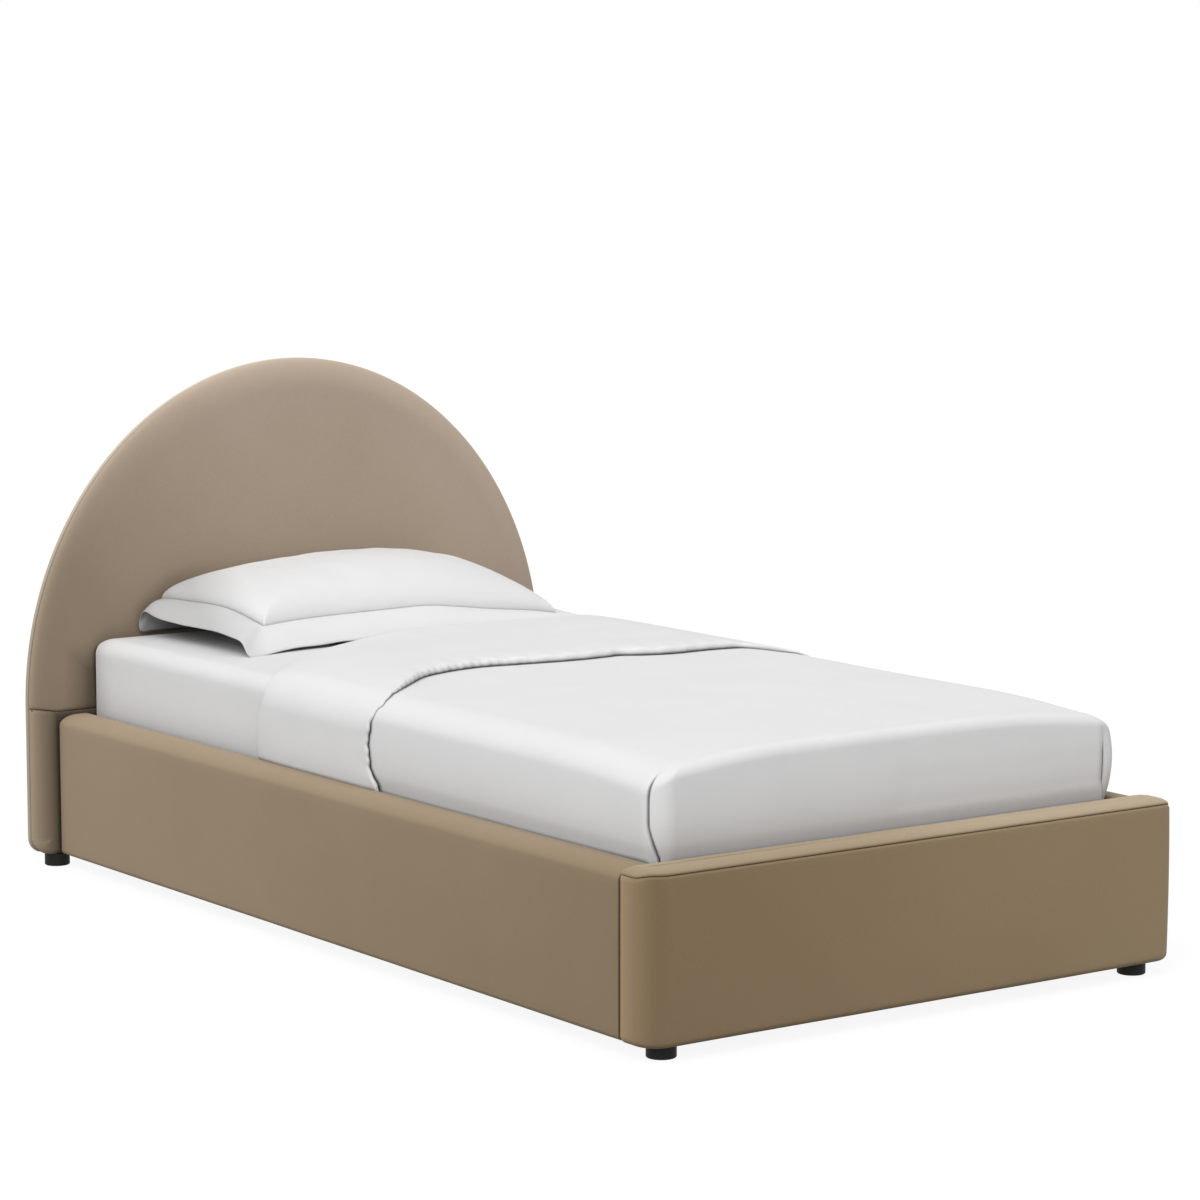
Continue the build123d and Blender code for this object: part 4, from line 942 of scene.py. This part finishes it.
turned_down = skin("turned_down_duvet", turned_down_grid(), duvet_cotton, wrap_rows=True)
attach(turned_down, "duvet")


# Pillow: a feather filling in a white percale sham, whose seam runs round it inside a flat
# flange about 60 mm wide. It leans back against the headboard.

# The sham's cloth gets painted shade towards its left end by the headboard
sham_cotton = percale("percale_sham", "#ececec", "#e6e6e7", crevice=0.85, dim_end=True)

# Places in millimetres, from the front left corner on round: on the seam, and on the flange's edge beyond it
seam_and_edge = np.array([
    (-302, 613, 502, -381, 533, 458), (-290, 614, 503, -342, 538, 458), (-262, 617, 505, -280, 550, 464),
    (-226, 620, 507, -222, 556, 465), (-160, 624, 509, -156, 560, 467), (-95, 626, 510, -95, 562, 466),
    (-20, 627, 511, -20, 563, 462), (82, 626, 512, 80, 562, 459), (160, 624, 504, 160, 562, 458),
    (227, 622, 495, 235, 560, 458), (330, 618, 484, 345, 560, 458), (385, 616, 475, 430, 560, 458),
    (391, 618, 474, 455, 562, 458), (394, 650, 475, 459, 640, 460), (400, 740, 480, 461, 740, 464),
    (404, 840, 490, 461, 850, 470), (405, 920, 500, 460, 930, 474), (403, 948, 504, 456, 957, 470),
    (396, 955, 506, 440, 960, 462), (300, 956, 512, 310, 961, 460), (200, 956, 520, 200, 961, 460),
    (0, 956, 528, 0, 961, 460), (-150, 955, 527, -160, 961, 460), (-290, 953, 525, -300, 961, 459),
    (-330, 952, 524, -355, 961, 459), (-340, 950, 524, -384, 961, 459), (-340, 948, 524, -388, 959, 483),
    (-338, 940, 525, -386, 943, 502), (-330, 900, 526, -388, 900, 498), (-326, 866, 526, -389, 857, 495),
    (-318, 798, 527, -388, 780, 493), (-312, 743, 525, -386, 710, 494), (-308, 692, 518, -384, 650, 493),
    (-305, 650, 509, -384, 600, 489), (-303, 625, 504, -384, 560, 483)]) / 1000


def closed_curve(places, steps):
    """A smooth closed line through places, with so many steps between neighbours."""
    part = (np.arange(steps) / steps)[None, :, None]
    neighbours = (np.roll(places, shift, axis=0)[:, None] for shift in (1, 0, -1, -2))
    return catmull_rom(*neighbours, part).reshape(-1, places.shape[1])


around_pillow = closed_curve(seam_and_edge, 9)
pillow_seam, flange_edge = around_pillow[:, :3], around_pillow[:, 3:]
rest_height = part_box("pillow_sham")[0].z + 0.001
pillow_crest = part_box("pillow")[1].z


def pillow_grid():
    """The stuffed body as rings from its upper spine out to the seam and back to its lower spine.

    Between spine and seam, with share 1 at the seam, it bulges by (1 - share ** 2.3) ** 0.46, and towards its
    left end by (1 - share ** 1.3) ** 0.44. Each ring's outline is rounder the further in it lies, and the
    crest drops to the right by a parabola. Below the seam the body falls to the sheet in the same way.
    """
    round_seam = pillow_seam
    for _ in range(2):
        round_seam = np.mean([np.roll(round_seam, shift, axis=0) for shift in range(-18, 19)], axis=0)
    spine_left, spine_right, spine_along = -0.020, 0.180, 0.820
    spine = np.stack([np.clip(pillow_seam[:, 0], spine_left, spine_right),
                      spine_along + 0.02 * (pillow_seam[:, 1] - 0.8)], axis=-1)
    share = np.sin(np.linspace(0, math.pi / 2, 36))[:, None]
    outline = round_seam + (pillow_seam - round_seam) * share[..., None] ** 6
    plan = spine + (outline[..., :2] - spine) * share[..., None]
    leftward = ramp(spine_left - pillow_seam[:, 0], 0.28)
    bulge = np.clip(1 - share ** (2.3 - 1.0 * leftward), 0, 1) ** (0.46 - 0.02 * leftward)
    seam_up = outline[..., 2]
    height = pillow_crest - 0.006 - 0.50 * np.maximum(plan[..., 0] - 0.05, 0) ** 2 - seam_up
    slack = 1 - 0.02 * ripple(plan, 0.16, 41) - 0.015 * ripple(plan, 0.07, 43)
    upper = seam_up + height * bulge * slack
    lower = np.maximum(seam_up - (seam_up - rest_height) * np.clip(1 - share ** 3, 0, 1) ** 0.5, rest_height)
    return np.concatenate([at_height(plan, upper), at_height(plan, lower)[::-1][1:]])


sham = skin("percale_sham", pillow_grid(), sham_cotton, wrap_columns=True, poles=True)
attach(sham, "pillow")
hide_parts("pillow_sham", "pillow")


def flange_grid():
    """The flange as a flat closed strip: rows run out from the seam to its edge and back underneath.

    It leaves the seam level and droops to the edge by a sine of the way out, with a low ridge along the seam.
    """
    share = np.linspace(0, 1, 16)[:, None, None]
    face = pillow_seam + (flange_edge - pillow_seam) * share
    face[..., 2] += 0.007 * np.sin(math.pi * share[..., 0])
    face[..., 2] += 0.0016 * np.exp(-(share[..., 0] / 0.06) ** 2)
    face[..., 2] += 0.0012 * ripple(face, 0.07, 47) * share[..., 0]
    half_thickness = np.array([0.0, 0.0, 0.0008])
    return np.concatenate([face + half_thickness, face[::-1] - half_thickness])


flange = skin("percale_sham_flange", flange_grid(), sham_cotton, wrap_rows=True, wrap_columns=True)
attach(flange, "pillow")


# Studio: a white sweep of floor, an even white surround, and one very large soft lamp high on
# the left in front of the bed. The camera sees floor and surround as white; the floor is a mid
# grey to everything else, so it throws back little light.


def seen_as_white(studio):
    """A factor of 1 for the camera, mirror rays and rays through glass, and 0 for light on the bed."""
    path = add(studio, "ShaderNodeLightPath", {})
    mirrored = add(studio, "ShaderNodeMath", {
        0: path.outputs["Is Camera Ray"], 1: path.outputs["Is Glossy Ray"]}, operation="MAXIMUM")
    seen = add(studio, "ShaderNodeMath", {
        0: mirrored.outputs[0], 1: path.outputs["Is Transmission Ray"]}, operation="MAXIMUM")
    return seen.outputs[0]


sweep = bare_material("white_sweep")
grey_floor = add(sweep, "ShaderNodeBsdfDiffuse", {"Color": linear("#8c8c8c")})
pale_floor = add(sweep, "ShaderNodeBsdfDiffuse", {"Color": linear("#ffffff")})
glowing = add(sweep, "ShaderNodeEmission", {"Color": linear("#ffffff"), "Strength": 1.03})
seen_floor = add(sweep, "ShaderNodeMixShader", {0: 0.12, 1: glowing.outputs[0], 2: pale_floor.outputs[0]})
floor_mix = add(sweep, "ShaderNodeMixShader", {
    0: seen_as_white(sweep), 1: grey_floor.outputs[0], 2: seen_floor.outputs[0]})
add(sweep, "ShaderNodeOutputMaterial", {"Surface": floor_mix.outputs[0]})
floor_size = np.array([-40.0, 40.0])
floor_grid = np.stack(np.meshgrid(floor_size, floor_size, [0.0], indexing="ij"), axis=-1)[:, :, 0]
floor = skin("studio_floor", floor_grid, sweep)

surround = bpy.data.worlds.new("studio_surround")
surround.use_nodes = True
surround.node_tree.nodes.clear()
bpy.context.scene.world = surround
even_light = add(surround, "ShaderNodeBackground", {"Color": linear("#ffffff"), "Strength": 0.60})
white_wall = add(surround, "ShaderNodeBackground", {"Color": linear("#ffffff"), "Strength": 1.0})
wall_mix = add(surround, "ShaderNodeMixShader", {
    0: seen_as_white(surround), 1: even_light.outputs[0], 2: white_wall.outputs[0]})
add(surround, "ShaderNodeOutputWorld", {"Surface": wall_mix.outputs[0]})

lamp_data = bpy.data.lights.new("large_soft_lamp", "SUN")
lamp_data.energy = 1.7
lamp_data.angle = 0.9
lamp = bpy.data.objects.new("large_soft_lamp", lamp_data)
lamp.rotation_euler = Vector((-0.60, -0.40, 0.69)).to_track_quat("Z", "Y").to_euler()
bpy.context.scene.collection.objects.link(lamp)
